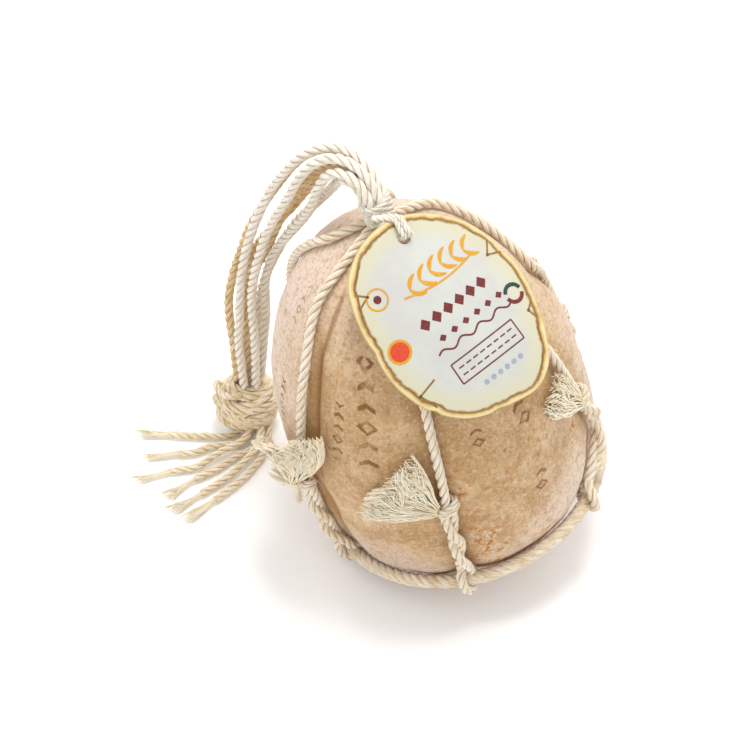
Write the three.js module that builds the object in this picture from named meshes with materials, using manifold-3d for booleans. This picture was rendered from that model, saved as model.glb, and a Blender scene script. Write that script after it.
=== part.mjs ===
// A roped whole cheese: a melon-shaped body that leans a little on a small flattened spot, six stays running
// down it from a whipped neck to a rope hoop, a hank of cords falling from the neck to a big knot beside it, and
// a card tag tied on in front. Millimetres, +Z up, the origin in the middle of the flattened spot.
import * as THREE from 'three';
import { mergeVertices } from 'three/addons/utils/BufferGeometryUtils.js';
import Module from 'manifold-3d';

const wasm = await Module();
wasm.setup();

// Cheese body, measured along its own axis from the widest ring
const bodyRadius = 82;
const topHeight = 122;
const bottomDepth = 96;
const topPower = 2;
const bottomPower = 3.6;
const bodySegments = 54;
const bodyRings = 26;
const leanDegrees = 17;
const bodyCentre = new THREE.Vector3(5, 0, 94);

// Creases that the stays press into the rind
const creaseDepth = 2.6;
const creaseWidth = 8;
const creaseTop = 112;
const creaseBottom = -78;

// Cords, hoop and neck
const cordRadius = 2.25;
const cordSides = 8;
const touchGap = 0.3;
const faceGap = 1.2;
const cordLift = cordRadius + 1.2;
const hoopRadius = 80;
const hoopHeight = -65;
const hoopRopeRadius = 3.5;
const neckPlace = new THREE.Vector3(9, 0, 134);
const neckLength = 9;
const neckRadius = 7.6;
const slotRadius = 4.8;

// Each stay over the rind: azimuth in degrees from the front, positive to the right, then height. The slot is
// its place under the whipping, crease the angle between the cord and the crease beside it, and ringAzimuth the
// place of its loop on the hoop.
const stays = [
  { name: 'a', slot: 215, crease: 5, ringAzimuth: -57, route: [[-37, 115], [-44, 106], [-45, 80], [-48, 52], [-57, 5]] },
  { name: 'b', slot: 275, crease: 0, ringAzimuth: 0, route: [[36, 117], [21, 106], [12, 80], [8, 48], [4, 5]] },
  { name: 'c', slot: 335, crease: 0, ringAzimuth: 60, route: [[75, 116], [67, 105], [66, 78], [71, 5], [79, -28]] },
  { name: 'd', slot: 35, crease: 0, ringAzimuth: 120, route: [[124, 110], [117, 98], [109, 79], [104, 60], [118, 30]] },
  { name: 'e', slot: 95, crease: 0, ringAzimuth: 180, route: [[168, 113], [173, 100], [178, 75], [180, 48], [180, 5]] },
  { name: 'f', slot: 155, crease: 0, ringAzimuth: 240, route: [[268, 119], [256, 112], [244, 90], [238, 55], [238, 5]] },
];
const hitchHeight = 2;
const hitchRadius = 2.3;
const stayStep = 13;

// Frayed tassels at the hitches: where the root is beside the stay and above the hitch, its lift, and the far
// corners of each fan, as azimuth beside the stay, height and lift
const tasselShapes = {
  a: { beside: 0, above: 7, root: 6.6, upper: [23, 62, 9], lower: [-22, 10, 20] },
  b: { beside: -7.4, above: 2, root: 1.2, upper: [-6, 49, 3], lower: [-35, 0, 3] },
  c: { beside: -7.4, above: 2, root: 1.2, upper: [-10, 38, 3], lower: [-24, 24, 3] },
  d: { beside: 7.4, above: 2, root: 1.2, upper: [8, 44, 3], lower: [27, 6, 3] },
  e: { beside: -7.4, above: 2, root: 1.2, upper: [-6, 44, 3], lower: [-26, 0, 3] },
  f: { beside: -7.4, above: 2, root: 1.2, upper: [-8, 40, 3], lower: [-32, 4, 3] },
};

// Hank of cords: the middle of the bundle from the neck to the knot, and half its width there
const hankRoute = [
  [-30, 3, 238, 4.8], [-37, 8, 243, 6], [-45, 16, 241, 9], [-55, 25, 229, 12], [-66, 37, 206, 14], [-79, 52, 170, 11],
  [-92, 56, 138, 10], [-98, 62, 105, 11], [-100, 66, 69, 9], [-101, 68, 24, 6],
];
const hankCords = 7;
const hankTurnDegrees = 70;
const hankSteps = 18;
const hankEasings = 2;
const hankGap = 2.7;

// Big knot and the tails that lie on the floor from it
const knotCentre = new THREE.Vector3(-103, 67, 18.2);
const knotRadius = 19;
const knotHalfHeight = 17.8;
const knotWraps = 5;
const wrapBulge = 1.6;
const floorRest = 3;
const tails = [
  [[-104, 62, 7], [-110, 53, 3.4], [-128, 51, floorRest], [-145, 52, floorRest], [-159, 55, floorRest]],
  [[-98, 57, 6], [-106, 47, 3.2], [-125, 43, floorRest], [-140, 39, floorRest], [-152, 37, floorRest]],
  [[-100, 60, 11], [-103, 46, 8.4], [-116, 37, 6], [-135, 28, floorRest], [-158, 19, floorRest]],
  [[-94, 58, 7], [-99, 42, 3.2], [-109, 35, floorRest], [-124, 24, floorRest], [-139, 11, floorRest]],
  [[-95, 60, 12], [-95, 44, 8.6], [-104, 29, 4.5], [-119, 13, floorRest], [-136, 1, floorRest]],
  [[-90, 60, 8], [-91, 42, 3.2], [-98, 27, floorRest], [-111, 9, floorRest], [-127, -5, floorRest]],
];

// Card tag: its outline about its own centre, place on the rind, bend and string hole
const tagOutline = [
  [10, 52], [28, 42], [39, 28], [46, 8], [46, -14], [43, -30], [38, -41], [29, -48], [14, -50], [-1, -50],
  [-11, -47], [-20, -41], [-28, -33], [-36, -19], [-40, -2], [-42, 18], [-39, 34], [-27, 47], [-13, 53], [-1, 54],
];
const tagThickness = 1.2;
const tagAzimuth = 38;
const tagHeight = 93;
const tagTilt = 51;
const tagSpin = -15;
const tagLift = 4.5;
const tagBendRadius = 150;
const tagBendDegrees = 225;
const tagHole = new THREE.Vector2(-4, 44);
const tagHoleRadius = 3.5;
const tagShift = -3;
const stringRadius = 1.3;

const look = (colour, roughness) => new THREE.MeshStandardMaterial({ color: colour, roughness, metalness: 0 });
const cordLook = look(0xd9c49a, 0.9);
const frayLook = look(0xddd0a8, 0.95);
const radians = THREE.MathUtils.degToRad;
const part = new THREE.Group();
const leaning = new THREE.Group();
leaning.position.copy(bodyCentre);
leaning.rotation.y = -radians(leanDegrees);
part.add(leaning);
leaning.updateMatrixWorld(true);

function addPiece(group, name, geometry, material) {
  const mesh = new THREE.Mesh(geometry, material);
  mesh.name = name;
  group.add(mesh);
  return mesh;
}

// Solids from closed meshes, joined and cut
function asSolid(geometry) {
  const bare = geometry.clone();
  bare.deleteAttribute('normal');
  bare.deleteAttribute('uv');
  const merged = mergeVertices(bare, 1e-4);
  const vertProperties = new Float32Array(merged.attributes.position.array);
  const triVerts = new Uint32Array(merged.index.array);
  return new wasm.Manifold(new wasm.Mesh({ numProp: 3, vertProperties, triVerts }));
}

function asGeometry(solid) {
  const mesh = solid.getMesh();
  const geometry = new THREE.BufferGeometry();
  geometry.setAttribute('position', new THREE.BufferAttribute(new Float32Array(mesh.vertProperties), 3));
  geometry.setIndex(Array.from(mesh.triVerts));
  geometry.computeVertexNormals();
  return geometry;
}

const cut = (geometry, tool) => asGeometry(asSolid(geometry).subtract(asSolid(tool)));

// A tube whose rings fall on the route's own points, so that they lie closer where it bends
class Route extends THREE.CatmullRomCurve3 {
  getUtoTmapping(u) {
    return u;
  }
}

function cordTube(points, radius = cordRadius, sides = cordSides) {
  const section = new THREE.Shape();
  for (let i = 0; i < sides; i += 1) {
    const angle = (i / sides) * 2 * Math.PI;
    if (i === 0) section.moveTo(radius, 0);
    else section.lineTo(radius * Math.cos(angle), radius * Math.sin(angle));
  }
  const route = new Route(points, false, 'centripetal');
  const steps = points.length - 1;
  return new THREE.ExtrudeGeometry(section, { steps, bevelEnabled: false, extrudePath: route });
}

// Radius of the smooth body at a height, and its creases
function smoothRadius(height) {
  const share = height >= 0 ? height / topHeight : -height / bottomDepth;
  const power = height >= 0 ? topPower : bottomPower;
  return bodyRadius * Math.sqrt(Math.max(0, 1 - share ** power));
}

function stayAzimuth(stay, height) {
  const route = [...stay.route, [stay.ringAzimuth, -60]];
  if (height >= route[0][1]) return route[0][0];
  for (let i = 1; i < route.length; i += 1) {
    const [high, low] = [route[i - 1], route[i]];
    if (height >= low[1]) return THREE.MathUtils.mapLinear(height, high[1], low[1], high[0], low[0]);
  }
  return stay.ringAzimuth;
}

function creaseAt(azimuth, height) {
  const fade = THREE.MathUtils.smoothstep(height, creaseBottom, creaseBottom + 30)
    * (1 - THREE.MathUtils.smoothstep(height, creaseTop - 30, creaseTop));
  let depth = 0;
  for (const stay of stays) {
    const middle = stayAzimuth(stay, height) + stay.crease;
    const apart = THREE.MathUtils.euclideanModulo(azimuth - middle + 180, 360) - 180;
    depth += Math.exp(-((apart / creaseWidth) ** 2));
  }
  return creaseDepth * depth * fade;
}

function onRind(azimuth, height, lift = 0) {
  const share = Math.min(1, height >= 0 ? height / topHeight : -height / bottomDepth);
  const power = height >= 0 ? topPower : bottomPower;
  const length = height >= 0 ? topHeight : -bottomDepth;
  const outward = new THREE.Vector2(
    Math.sqrt(Math.max(0, 1 - share ** power)),
    (power * share ** (power - 1) * bodyRadius) / (2 * length),
  ).normalize();
  const radius = smoothRadius(height) - creaseAt(azimuth, height) + outward.x * lift;
  const angle = radians(azimuth);
  return new THREE.Vector3(radius * Math.sin(angle), -radius * Math.cos(angle), height + outward.y * lift);
}

function makeCheese() {
  const profile = [];
  for (let i = 0; i <= bodyRings; i += 1) {
    const share = Math.sin(-Math.PI / 2 + (Math.PI * i) / bodyRings);
    const height = share * (share >= 0 ? topHeight : bottomDepth);
    const onAxis = i === 0 || i === bodyRings;
    profile.push(new THREE.Vector2(onAxis ? 0 : smoothRadius(height), height));
  }
  const geometry = new THREE.LatheGeometry(profile, bodySegments);
  geometry.rotateX(Math.PI / 2);
  const positions = geometry.attributes.position;
  const point = new THREE.Vector3();
  for (let i = 0; i < positions.count; i += 1) {
    point.fromBufferAttribute(positions, i);
    const azimuth = THREE.MathUtils.radToDeg(Math.atan2(point.x, -point.y));
    const radius = Math.hypot(point.x, point.y);
    const inner = radius > 0 ? (radius - creaseAt(azimuth, point.z)) / radius : 0;
    point.set(point.x * inner, point.y * inner, point.z);
    leaning.localToWorld(point);
    point.z = Math.max(0, point.z);
    leaning.worldToLocal(point);
    positions.setXYZ(i, point.x, point.y, point.z);
  }
  geometry.deleteAttribute('normal');
  geometry.deleteAttribute('uv');
  return mergeVertices(geometry, 1e-3);
}

function makeHoop() {
  const geometry = new THREE.TorusGeometry(hoopRadius, hoopRopeRadius, 8, 54);
  geometry.translate(0, 0, hoopHeight);
  return geometry;
}

// The doubled end of a stay, in the plane of the hoop's loop: outward and height from the hoop's own middle
const loopRadius = hoopRopeRadius + cordRadius + 4 * touchGap;
const pairOffset = cordRadius + touchGap / 2;

function besideAt(azimuth, radius, height, sideways) {
  const angle = radians(azimuth);
  return new THREE.Vector3(
    radius * Math.sin(angle) + sideways * Math.cos(angle),
    -radius * Math.cos(angle) + sideways * Math.sin(angle),
    height,
  );
}

function besideRind(azimuth, height, sideways) {
  const point = onRind(azimuth, height, cordLift);
  return besideAt(azimuth, Math.hypot(point.x, point.y), point.z, sideways);
}

function stayRoute(stay) {
  const slotAngle = radians(stay.slot);
  const slot = (spread, height) => new THREE.Vector3(
    neckPlace.x + spread * Math.cos(slotAngle), neckPlace.y + spread * Math.sin(slotAngle), height);
  const underNeck = neckPlace.z - neckLength / 2 - faceGap;
  const points = [slot(slotRadius, underNeck), slot(slotRadius + 1.2, underNeck - 3)];
  const over = stay.route.map(([azimuth, height]) => onRind(azimuth, height, cordLift));
  const guide = new THREE.CatmullRomCurve3([points[1], ...over, besideRind(stayAzimuth(stay, -40), -40, -pairOffset)]);
  const count = Math.round(guide.getLength() / stayStep);
  for (let i = 1; i <= count; i += 1) {
    const at = guide.getPointAt(i / count);
    const azimuth = THREE.MathUtils.radToDeg(Math.atan2(at.x, -at.y));
    const clear = onRind(azimuth, Math.min(at.z, topHeight - 1), cordLift);
    const inside = Math.hypot(at.x, at.y) < Math.hypot(clear.x, clear.y) && at.z < 100;
    points.push(inside ? besideAt(azimuth, Math.hypot(clear.x, clear.y), at.z, 0) : at);
  }
  points.push(besideAt(stay.ringAzimuth, hoopRadius + loopRadius, hoopHeight + 8, -pairOffset));
  const turns = 6;
  for (let i = 0; i <= turns; i += 1) {
    const angle = (-Math.PI * i) / turns;
    const sideways = THREE.MathUtils.lerp(-pairOffset, pairOffset, i / turns);
    const outward = hoopRadius + loopRadius * Math.cos(angle);
    const height = hoopHeight + loopRadius * Math.sin(angle);
    points.push(besideAt(stay.ringAzimuth, outward, height, sideways));
  }
  points.push(besideRind(stay.ringAzimuth, -57, pairOffset));
  for (const height of [-45, -33, -21, -9]) {
    points.push(besideRind(stayAzimuth(stay, height), height, pairOffset));
  }
  points.push(besideRind(stayAzimuth(stay, hitchHeight), hitchHeight + 3, pairOffset));
  return points;
}

// An arch of cord over the pair, from the rind on one side to the rind on the other
function makeHitch(stay) {
  const azimuth = stayAzimuth(stay, hitchHeight);
  const foot = pairOffset + cordRadius + hitchRadius + 3 * touchGap;
  const crown = cordLift + cordRadius + hitchRadius + 3 * touchGap;
  const arch = [[-1, 0.25], [-1, 0.55], [-0.72, 0.92], [0, 1], [0.72, 0.92], [1, 0.55], [1, 0.25]];
  const middle = onRind(azimuth, hitchHeight, 0);
  const radius = Math.hypot(middle.x, middle.y);
  return cordTube(arch.map(([sideways, outward]) => besideAt(
    azimuth, radius + crown * outward, hitchHeight + 1.2 * sideways, foot * sideways)), hitchRadius);
}

// A frayed fan lying on the rind, from the hitch to its two far corners
function makeTassel(stay) {
  const { beside, above, root, upper, lower } = tasselShapes[stay.name];
  const azimuth = stayAzimuth(stay, hitchHeight);
  const rows = 6;
  const columns = 5;
  const rootAzimuth = azimuth + beside;
  const rootHeight = hitchHeight + above;
  const surface = (row, column, side) => {
    const along = row / rows;
    const across = column / columns;
    const farAzimuth = azimuth + THREE.MathUtils.lerp(lower[0], upper[0], across);
    const farHeight = THREE.MathUtils.lerp(lower[1], upper[1], across);
    const bulge = 1 + 0.12 * Math.sin(Math.PI * across) * along;
    const nearAzimuth = rootAzimuth + 0.6 * (0.5 - across) * Math.sign(beside);
    const nearHeight = rootHeight + 5 * (across - 0.5);
    const atAzimuth = nearAzimuth + (farAzimuth - nearAzimuth) * along * bulge;
    const atHeight = nearHeight + (farHeight - nearHeight) * along * bulge;
    const thickness = THREE.MathUtils.lerp(5, 2.4, along) * (0.35 + 0.65 * Math.sin(Math.PI * (0.1 + 0.8 * across)));
    const lift = THREE.MathUtils.lerp(lower[2], upper[2], across);
    const rise = root + (lift - root) * along * along;
    return onRind(atAzimuth, atHeight, rise + side * thickness);
  };
  const corners = [];
  for (const side of [0, 1]) {
    for (let row = 0; row <= rows; row += 1) {
      for (let column = 0; column <= columns; column += 1) corners.push(surface(row, column, side));
    }
  }
  return closedSheet(corners, rows, columns);
}

// Two sheets of rows by columns of points, back then front, closed round their edge
function closedSheet(points, rows, columns) {
  const width = columns + 1;
  const sheet = (rows + 1) * width;
  const index = [];
  const quad = (a, b, c, d) => index.push(a, b, c, a, c, d);
  const at = (side, row, column) => side * sheet + row * width + column;
  for (let row = 0; row < rows; row += 1) {
    for (let column = 0; column < columns; column += 1) {
      quad(at(0, row, column), at(0, row, column + 1), at(0, row + 1, column + 1), at(0, row + 1, column));
      quad(at(1, row, column), at(1, row + 1, column), at(1, row + 1, column + 1), at(1, row, column + 1));
    }
    quad(at(0, row, 0), at(0, row + 1, 0), at(1, row + 1, 0), at(1, row, 0));
    quad(at(0, row + 1, columns), at(0, row, columns), at(1, row, columns), at(1, row + 1, columns));
  }
  for (let column = 0; column < columns; column += 1) {
    quad(at(0, 0, column + 1), at(0, 0, column), at(1, 0, column), at(1, 0, column + 1));
    quad(at(0, rows, column), at(0, rows, column + 1), at(1, rows, column + 1), at(1, rows, column));
  }
  const geometry = new THREE.BufferGeometry();
  geometry.setAttribute('position', new THREE.Float32BufferAttribute(points.flatMap((p) => p.toArray()), 3));
  geometry.setIndex(index);
  const solid = asSolid(geometry);
  return solid.volume() > 0 ? geometry : turnedOut(geometry);
}

function turnedOut(geometry) {
  const index = Array.from(geometry.index.array);
  for (let i = 0; i < index.length; i += 3) [index[i], index[i + 1]] = [index[i + 1], index[i]];
  geometry.setIndex(index);
  return geometry;
}

// Whipping round the neck: three turns of a thin cord over the bundled cords
function makeWhipping() {
  const turns = 3;
  const profile = [new THREE.Vector2(0, -neckLength / 2)];
  for (let i = 0; i <= turns * 2; i += 1) {
    const swell = i % 2;
    const height = -neckLength / 2 + (neckLength * i) / (turns * 2);
    profile.push(new THREE.Vector2(neckRadius - 0.9 + 0.9 * swell, height));
  }
  profile.push(new THREE.Vector2(0, neckLength / 2));
  const geometry = new THREE.LatheGeometry(profile, 14);
  geometry.rotateX(Math.PI / 2);
  geometry.translate(neckPlace.x, neckPlace.y, neckPlace.z);
  return geometry;
}

// Big knot: five wraps, one over the other
function makeKnot() {
  const profile = [new THREE.Vector2(0, -knotHalfHeight)];
  const steps = knotWraps * 3;
  for (let i = 1; i < steps; i += 1) {
    const polar = (Math.PI * i) / steps;
    const bulge = wrapBulge * Math.abs(Math.sin((Math.PI * i * knotWraps) / steps));
    profile.push(new THREE.Vector2(
      (knotRadius - wrapBulge) * Math.sin(polar) ** 0.7 + bulge, -knotHalfHeight * Math.cos(polar)));
  }
  profile.push(new THREE.Vector2(0, knotHalfHeight));
  const geometry = new THREE.LatheGeometry(profile, 18);
  geometry.rotateX(Math.PI / 2);
  geometry.translate(knotCentre.x, knotCentre.y, knotCentre.z);
  return geometry;
}

// The hank's cords run side by side round the bundle's middle, which turns a little on its way down
function hankPoints(cord) {
  const neckTop = new THREE.Vector3(neckPlace.x, neckPlace.y, neckPlace.z + neckLength / 2 + hankGap);
  const start = leaning.localToWorld(neckTop.clone());
  const stations = [[start.x, start.y, start.z, slotRadius], ...hankRoute];
  const middle = new THREE.CatmullRomCurve3(stations.map(([x, y, z]) => new THREE.Vector3(x, y, z)));
  const deep = new THREE.Vector3(0, 0.7, -0.7);
  const points = [];
  for (let i = 0; i <= hankSteps; i += 1) {
    const t = i / hankSteps;
    const along = middle.getTangent(t);
    const across = new THREE.Vector3().crossVectors(along, deep).normalize();
    const behind = new THREE.Vector3().crossVectors(across, along).normalize();
    const place = t * (stations.length - 1);
    const before = Math.min(Math.floor(place), stations.length - 2);
    const spread = THREE.MathUtils.lerp(stations[before][3], stations[before + 1][3], place - before);
    const angle = radians(60 * cord + hankTurnDegrees * t);
    const reach = cord === hankCords - 1 ? 0 : spread;
    points.push(middle.getPoint(t)
      .addScaledVector(across, reach * Math.cos(angle))
      .addScaledVector(behind, reach * Math.sin(angle)));
  }
  // each point is drawn towards its neighbours, so that no cord takes a sharp bend
  for (let easing = 0; easing < hankEasings; easing += 1) {
    const old = points.map((point) => point.clone());
    for (let i = 1; i < hankSteps; i += 1) {
      points[i].copy(old[i - 1]).add(old[i + 1]).add(old[i]).add(old[i]).divideScalar(4);
    }
  }
  return points;
}

// How far the bent card sags at a point beside its centre
function tagSag(x, y) {
  const reach = x * Math.cos(radians(tagBendDegrees)) + y * Math.sin(radians(tagBendDegrees));
  return -(reach * reach) / (2 * tagBendRadius);
}

// The card's points from its outline, bent over the rind, with its back sheet first
function makeTag() {
  const outline = new THREE.CatmullRomCurve3(
    tagOutline.map(([x, y]) => new THREE.Vector3(x, y, 0)), true, 'centripetal');
  const rings = 3;
  const around = 36;
  const positions = [];
  const index = [];
  const put = (x, y, front) => positions.push(x, y, tagSag(x, y) + front * tagThickness);
  for (const front of [0, 1]) {
    put(0, 0, front);
    for (let ring = 1; ring <= rings; ring += 1) {
      for (let i = 0; i < around; i += 1) {
        const edge = outline.getPoint(i / around);
        put((edge.x * ring) / rings, (edge.y * ring) / rings, front);
      }
    }
  }
  const sheet = 1 + rings * around;
  const at = (front, ring, i) => front * sheet + 1 + (ring - 1) * around + (i % around);
  for (let i = 0; i < around; i += 1) {
    index.push(0, at(0, 1, i), at(0, 1, i + 1), sheet, at(1, 1, i + 1), at(1, 1, i));
    for (let ring = 1; ring < rings; ring += 1) {
      const [a, b] = [at(0, ring, i), at(0, ring, i + 1)];
      const [c, d] = [at(0, ring + 1, i + 1), at(0, ring + 1, i)];
      index.push(a, d, c, a, c, b, a + sheet, c + sheet, d + sheet, a + sheet, b + sheet, c + sheet);
    }
    const [low, lowNext] = [at(0, rings, i), at(0, rings, i + 1)];
    index.push(low, lowNext + sheet, lowNext, low, low + sheet, lowNext + sheet);
  }
  const geometry = new THREE.BufferGeometry();
  geometry.setAttribute('position', new THREE.Float32BufferAttribute(positions, 3));
  geometry.setIndex(index);
  const card = asSolid(geometry).volume() > 0 ? geometry : turnedOut(geometry);
  const drill = new THREE.CylinderGeometry(tagHoleRadius, tagHoleRadius, 40, 14);
  drill.rotateX(Math.PI / 2);
  drill.translate(tagHole.x, tagHole.y, 0);
  return cut(card, drill);
}

function makeTagPlace() {
  const around = new THREE.Group();
  around.rotation.z = radians(tagAzimuth);
  leaning.add(around);
  const face = new THREE.Group();
  face.position.copy(onRind(0, tagHeight, 0).setX(0));
  face.position.y = -smoothRadius(tagHeight);
  face.rotation.x = radians(tagTilt);
  around.add(face);
  const turned = new THREE.Group();
  turned.position.set(tagShift, 0, tagLift);
  turned.rotation.z = radians(tagSpin);
  face.add(turned);
  turned.updateWorldMatrix(true, false);
  return turned;
}

// The string from the front of the whipping, over the card, down through its hole and back up beneath it
function stringRoute(place) {
  const fromTag = (along, up, above) => leaning.worldToLocal(place.localToWorld(
    new THREE.Vector3(tagHole.x + along, tagHole.y + up, tagSag(tagHole.x + along, tagHole.y + up) + above)));
  const reach = neckRadius + stringRadius + touchGap;
  const { x, y, z } = neckPlace;
  return [
    new THREE.Vector3(x - 1, y - reach, z + 2),
    new THREE.Vector3(x, y - reach - 2, z + 3),
    fromTag(-1, 11, 3.6),
    fromTag(-1, 4, 3.8),
    fromTag(0, 0.4, 3),
    fromTag(0, 0, 0),
    fromTag(0, 0, -2.6),
    fromTag(0, 4, -4.2),
    fromTag(0, 11, -4.4),
    new THREE.Vector3(x + 3, y - reach - 2, z - 4),
    new THREE.Vector3(x + 1, y - reach, z - 3),
  ];
}

for (const stay of stays) {
  const route = stayRoute(stay);
  addPiece(leaning, `stay_${stay.name}`, cordTube(route), cordLook);
  addPiece(leaning, `hitch_${stay.name}`, makeHitch(stay), cordLook);
  addPiece(leaning, `tassel_${stay.name}`, makeTassel(stay), frayLook);
}
addPiece(leaning, 'cheese', makeCheese(), look(0xdcbd98, 0.55));
addPiece(leaning, 'hoop', makeHoop(), cordLook);
addPiece(leaning, 'whipping', makeWhipping(), cordLook);
const tagPlace = makeTagPlace();
addPiece(tagPlace, 'tag', makeTag(), look(0xe4dcc0, 0.45));
addPiece(leaning, 'tag_string', cordTube(stringRoute(tagPlace), stringRadius), cordLook);

const knot = makeKnot();
const aroundKnot = knot.clone();
aroundKnot.translate(-knotCentre.x, -knotCentre.y, -knotCentre.z);
const swell = 1 + touchGap / 10;
aroundKnot.scale(swell, swell, swell);
aroundKnot.translate(knotCentre.x, knotCentre.y, knotCentre.z);
addPiece(part, 'big_knot', knot, cordLook);
for (let cord = 0; cord < hankCords; cord += 1) {
  addPiece(part, `hank_${cord + 1}`, cut(cordTube(hankPoints(cord)), aroundKnot), cordLook);
}
tails.forEach((route, i) => {
  const guide = new THREE.CatmullRomCurve3(route.map(([x, y, z]) => new THREE.Vector3(x, y, z)));
  addPiece(part, `tail_${i + 1}`, cut(cordTube(guide.getSpacedPoints(8)), aroundKnot), cordLook);
});

export default part;
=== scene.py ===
import bpy, math, random
from functools import partial
from mathutils import Matrix, Vector, noise


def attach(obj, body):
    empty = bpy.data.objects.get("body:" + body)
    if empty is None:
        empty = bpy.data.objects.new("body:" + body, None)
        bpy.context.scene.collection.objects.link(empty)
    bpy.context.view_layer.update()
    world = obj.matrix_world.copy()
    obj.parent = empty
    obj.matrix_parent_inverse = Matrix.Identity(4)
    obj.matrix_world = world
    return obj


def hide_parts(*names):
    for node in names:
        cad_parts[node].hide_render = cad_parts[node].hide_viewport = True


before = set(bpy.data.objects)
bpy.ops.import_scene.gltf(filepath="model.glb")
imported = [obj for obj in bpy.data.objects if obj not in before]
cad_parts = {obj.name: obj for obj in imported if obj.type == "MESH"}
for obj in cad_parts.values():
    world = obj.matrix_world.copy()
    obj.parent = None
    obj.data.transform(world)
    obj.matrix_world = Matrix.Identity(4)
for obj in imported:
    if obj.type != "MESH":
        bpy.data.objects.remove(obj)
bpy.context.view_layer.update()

# A roped whole cheese with a hank of cords, a big knot and a card tag. Lengths are in mm until a mesh is made.
mm = 0.001
scene = bpy.context.scene
noise.seed_set(2)  # without a seed, noise_vector differs from run to run


# small helpers
def srgb(hexColour):  # turned linear for the shader sockets
    value = [int(hexColour[i:i + 2], 16) / 255 for i in (0, 2, 4)]
    return tuple(v / 12.92 if v <= 0.04045 else ((v + 0.055) / 1.055) ** 2.4 for v in value) + (1.0,)


def setInputs(node, values):  # a socket is linked, anything else is set
    for key, value in values.items():
        if isinstance(value, bpy.types.NodeSocket):
            node.id_data.links.new(value, node.inputs[key])
        else:
            node.inputs[key].default_value = value


def addNode(tree, kind, settings=None, inputs=None, output=0):  # gives one output, or the node where output is None
    node = tree.nodes.new(kind)
    for name, value in (settings or {}).items():
        setattr(node, name, value)
    setInputs(node, dict(enumerate(inputs)) if isinstance(inputs, list) else inputs or {})
    return node if output is None else node.outputs[output]


# kinds of node that come often, each with its settings
add, times, minus, over, larger, smaller, absolute, whole, remainder = (
    ("ShaderNodeMath", {"operation": name}) for name in (
        "ADD", "MULTIPLY", "SUBTRACT", "DIVIDE", "MAXIMUM", "MINIMUM", "ABSOLUTE", "FLOOR", "FLOORED_MODULO"))
vectorAdd, vectorTimes, vectorMinus, vectorOver, vectorScale = (
    ("ShaderNodeVectorMath", {"operation": name}) for name in ("ADD", "MULTIPLY", "SUBTRACT", "DIVIDE", "SCALE"))
numbers, vectors = {"data_type": "FLOAT"}, {"data_type": "FLOAT_VECTOR"}
randomNumber = ("FunctionNodeRandomValue", numbers)
keepNumber, keepVector = (("GeometryNodeStoreNamedAttribute", kind) for kind in (numbers, vectors))
keptNumber, keptVector = (("GeometryNodeInputNamedAttribute", kind) for kind in (numbers, vectors))
ramp = ("ShaderNodeMapRange", {"interpolation_type": "SMOOTHSTEP"})
blend = ("ShaderNodeMix", {"data_type": "RGBA"})
blendDark = ("ShaderNodeMix", {"data_type": "RGBA", "blend_type": "MULTIPLY"})
combine, cloudy, bumps = ("ShaderNodeCombineXYZ", None), ("ShaderNodeTexNoise", None), ("ShaderNodeBump", None)
circleCurve, sweep = ("GeometryNodeCurvePrimitiveCircle", None), ("GeometryNodeCurveToMesh", None)


def meshObject(name, points, faces, material=None, smooth=True):
    mesh = bpy.data.meshes.new(name)
    mesh.from_pydata([tuple(p) for p in points], [], faces)
    if smooth:
        mesh.polygons.foreach_set("use_smooth", [True] * len(mesh.polygons))
    if material:
        mesh.materials.append(material)
    piece = bpy.data.objects.new(name, mesh)
    scene.collection.objects.link(piece)
    return piece


def keepValues(piece, name, values):  # one number at each point, for the material
    piece.data.attributes.new(name, "FLOAT", "POINT").data.foreach_set("value", values)


def gridFaces(across, rows, closed=False):  # points row by row; a closed row comes back to its own first point
    return [(r * across + c, r * across + (c + 1) % across, (r + 1) * across + (c + 1) % across, (r + 1) * across + c)
            for r in range(rows - 1) for c in range(across if closed else across - 1)]


def curveObject(name, points):
    data = bpy.data.curves.new(name, "CURVE")
    data.dimensions = "3D"
    spline = data.splines.new("POLY")
    spline.points.add(len(points) - 1)
    for target, p in zip(spline.points, points):
        target.co = (p[0], p[1], p[2], 1.0)
    guide = bpy.data.objects.new(name, data)
    scene.collection.objects.link(guide)
    return guide


# Runs a node tree over a guide and keeps the result as a plain mesh
def grown(name, guide, tree, values, material):
    modifier = guide.modifiers.new("grow", "NODES")
    modifier.node_group = tree
    sockets = {item.name: item.identifier for item in tree.interface.items_tree if item.in_out == "INPUT"}
    for label, value in {**values, "Material": material}.items():
        modifier[sockets[label]] = value
    depsgraph = bpy.context.evaluated_depsgraph_get()
    mesh = bpy.data.meshes.new_from_object(guide.evaluated_get(depsgraph), depsgraph=depsgraph)
    mesh.name = name
    guide.modifiers.clear()
    bpy.data.objects.remove(guide)
    piece = bpy.data.objects.new(name, mesh)
    scene.collection.objects.link(piece)
    return piece


# curves through a few points, as the solids use
def curvePoint(points, t):
    last = len(points) - 1
    place = min(max(t, 0.0), 1.0) * last
    i = min(int(place), last - 1)
    w = place - i
    p1, p2 = points[i], points[i + 1]
    p0 = points[i - 1] if i > 0 else 2 * points[0] - points[1]
    p3 = points[i + 2] if i + 2 <= last else 2 * points[last] - points[last - 1]
    d0, d1, d2 = (max((b - a).length, 1e-6) ** 0.5 for a, b in ((p0, p1), (p1, p2), (p2, p3)))
    t1 = ((p1 - p0) / d0 - (p2 - p0) / (d0 + d1) + (p2 - p1) / d1) * d1
    t2 = ((p2 - p1) / d1 - (p3 - p1) / (d1 + d2) + (p3 - p2) / d2) * d1
    return p1 + t1 * w + (3 * (p2 - p1) - 2 * t1 - t2) * w ** 2 + (2 * (p1 - p2) + t1 + t2) * w ** 3


def curveTangent(points, t):
    return (curvePoint(points, min(1, t + 1e-4)) - curvePoint(points, max(0, t - 1e-4))).normalized()


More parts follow.
